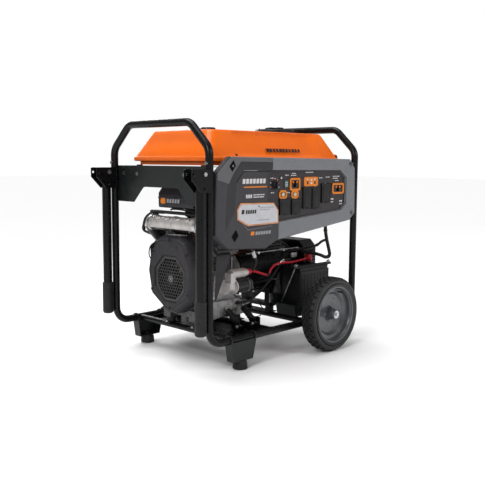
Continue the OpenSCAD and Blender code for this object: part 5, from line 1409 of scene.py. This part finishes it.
def area(name, place, target, size, power, color=(1, 1, 1)):
    light = bpy.data.lights.new(name, "AREA")
    light.shape = "RECTANGLE"
    light.size, light.size_y = size
    light.energy = power
    light.color = color
    lamp = put(name, light)
    lamp.location = place
    lamp.rotation_euler = (Vector(target) - Vector(place)).to_track_quat("-Z", "Y").to_euler()


area("key_left", (-3.0, -1.2, 2.3), (-0.1, 0, 0.5), (0.8, 1.4), 46)
area("key_right", (1.0, -3.2, 2.1), (0.1, -0.2, 0.5), (1.3, 0.6), 30)
area("back_rim", (0.9, 3.0, 2.2), (0, 0, 0.6), (2.0, 1.0), 40)
sun = bpy.data.lights.new("overhead", "SUN")
sun.energy = 2.9
sun.angle = math.radians(50)
overhead = put("overhead", sun)
overhead.rotation_euler = (math.radians(-14), math.radians(-8), 0)

# A white backdrop that lights the object more softly than it looks
world = bpy.data.worlds.new("studio")
world.use_nodes = True
studio = world.node_tree
backdrop = studio.nodes["Background"]
backdrop.inputs["Color"].default_value = (1, 1, 1, 1)
backdrop.inputs["Strength"].default_value = 1.0
fill = studio.nodes.new("ShaderNodeBackground")
fill.inputs["Color"].default_value = (1, 1, 1, 1)
fill.inputs["Strength"].default_value = 0.34
seen = studio.nodes.new("ShaderNodeLightPath")
blend = studio.nodes.new("ShaderNodeMixShader")
studio.links.new(seen.outputs["Is Camera Ray"], blend.inputs[0])
studio.links.new(fill.outputs[0], blend.inputs[1])
studio.links.new(backdrop.outputs[0], blend.inputs[2])
studio.links.new(blend.outputs[0], studio.nodes["World Output"].inputs["Surface"])
bpy.context.scene.world = world

floor_mesh = bpy.data.meshes.new("floor")
SPAN = 30.0
floor_mesh.from_pydata([(x, y, 0) for x, y in rect(-SPAN, -SPAN, SPAN, SPAN)], [], [(0, 1, 2, 3)])
floor_mesh.materials.append(floor_mat)
floor = put("floor", floor_mesh)

# The camera stands where the picture was taken: yaw, pitch and roll in degrees
camera_data = bpy.data.cameras.new("camera")
camera_data.sensor_width = 36
camera_data.lens = 53.0
camera = put("camera", camera_data)
EYE = (-2258.1375, -2276.5, 839.3)
camera.location = [place * MM for place in EYE]
YAW, PITCH, ROLL = (math.radians(a) for a in (45.66, -6.58, 0.36))
forward = Vector((math.sin(YAW) * math.cos(PITCH), math.cos(YAW) * math.cos(PITCH), math.sin(PITCH)))
level = Vector((math.cos(YAW), -math.sin(YAW), 0))
upright = level.cross(forward)
right = level * math.cos(ROLL) + upright * math.sin(ROLL)
above = upright * math.cos(ROLL) - level * math.sin(ROLL)
camera.rotation_euler = Matrix((right, above, -forward)).transposed().to_euler()
bpy.context.scene.camera = camera
bpy.context.scene.view_settings.view_transform = "Standard"
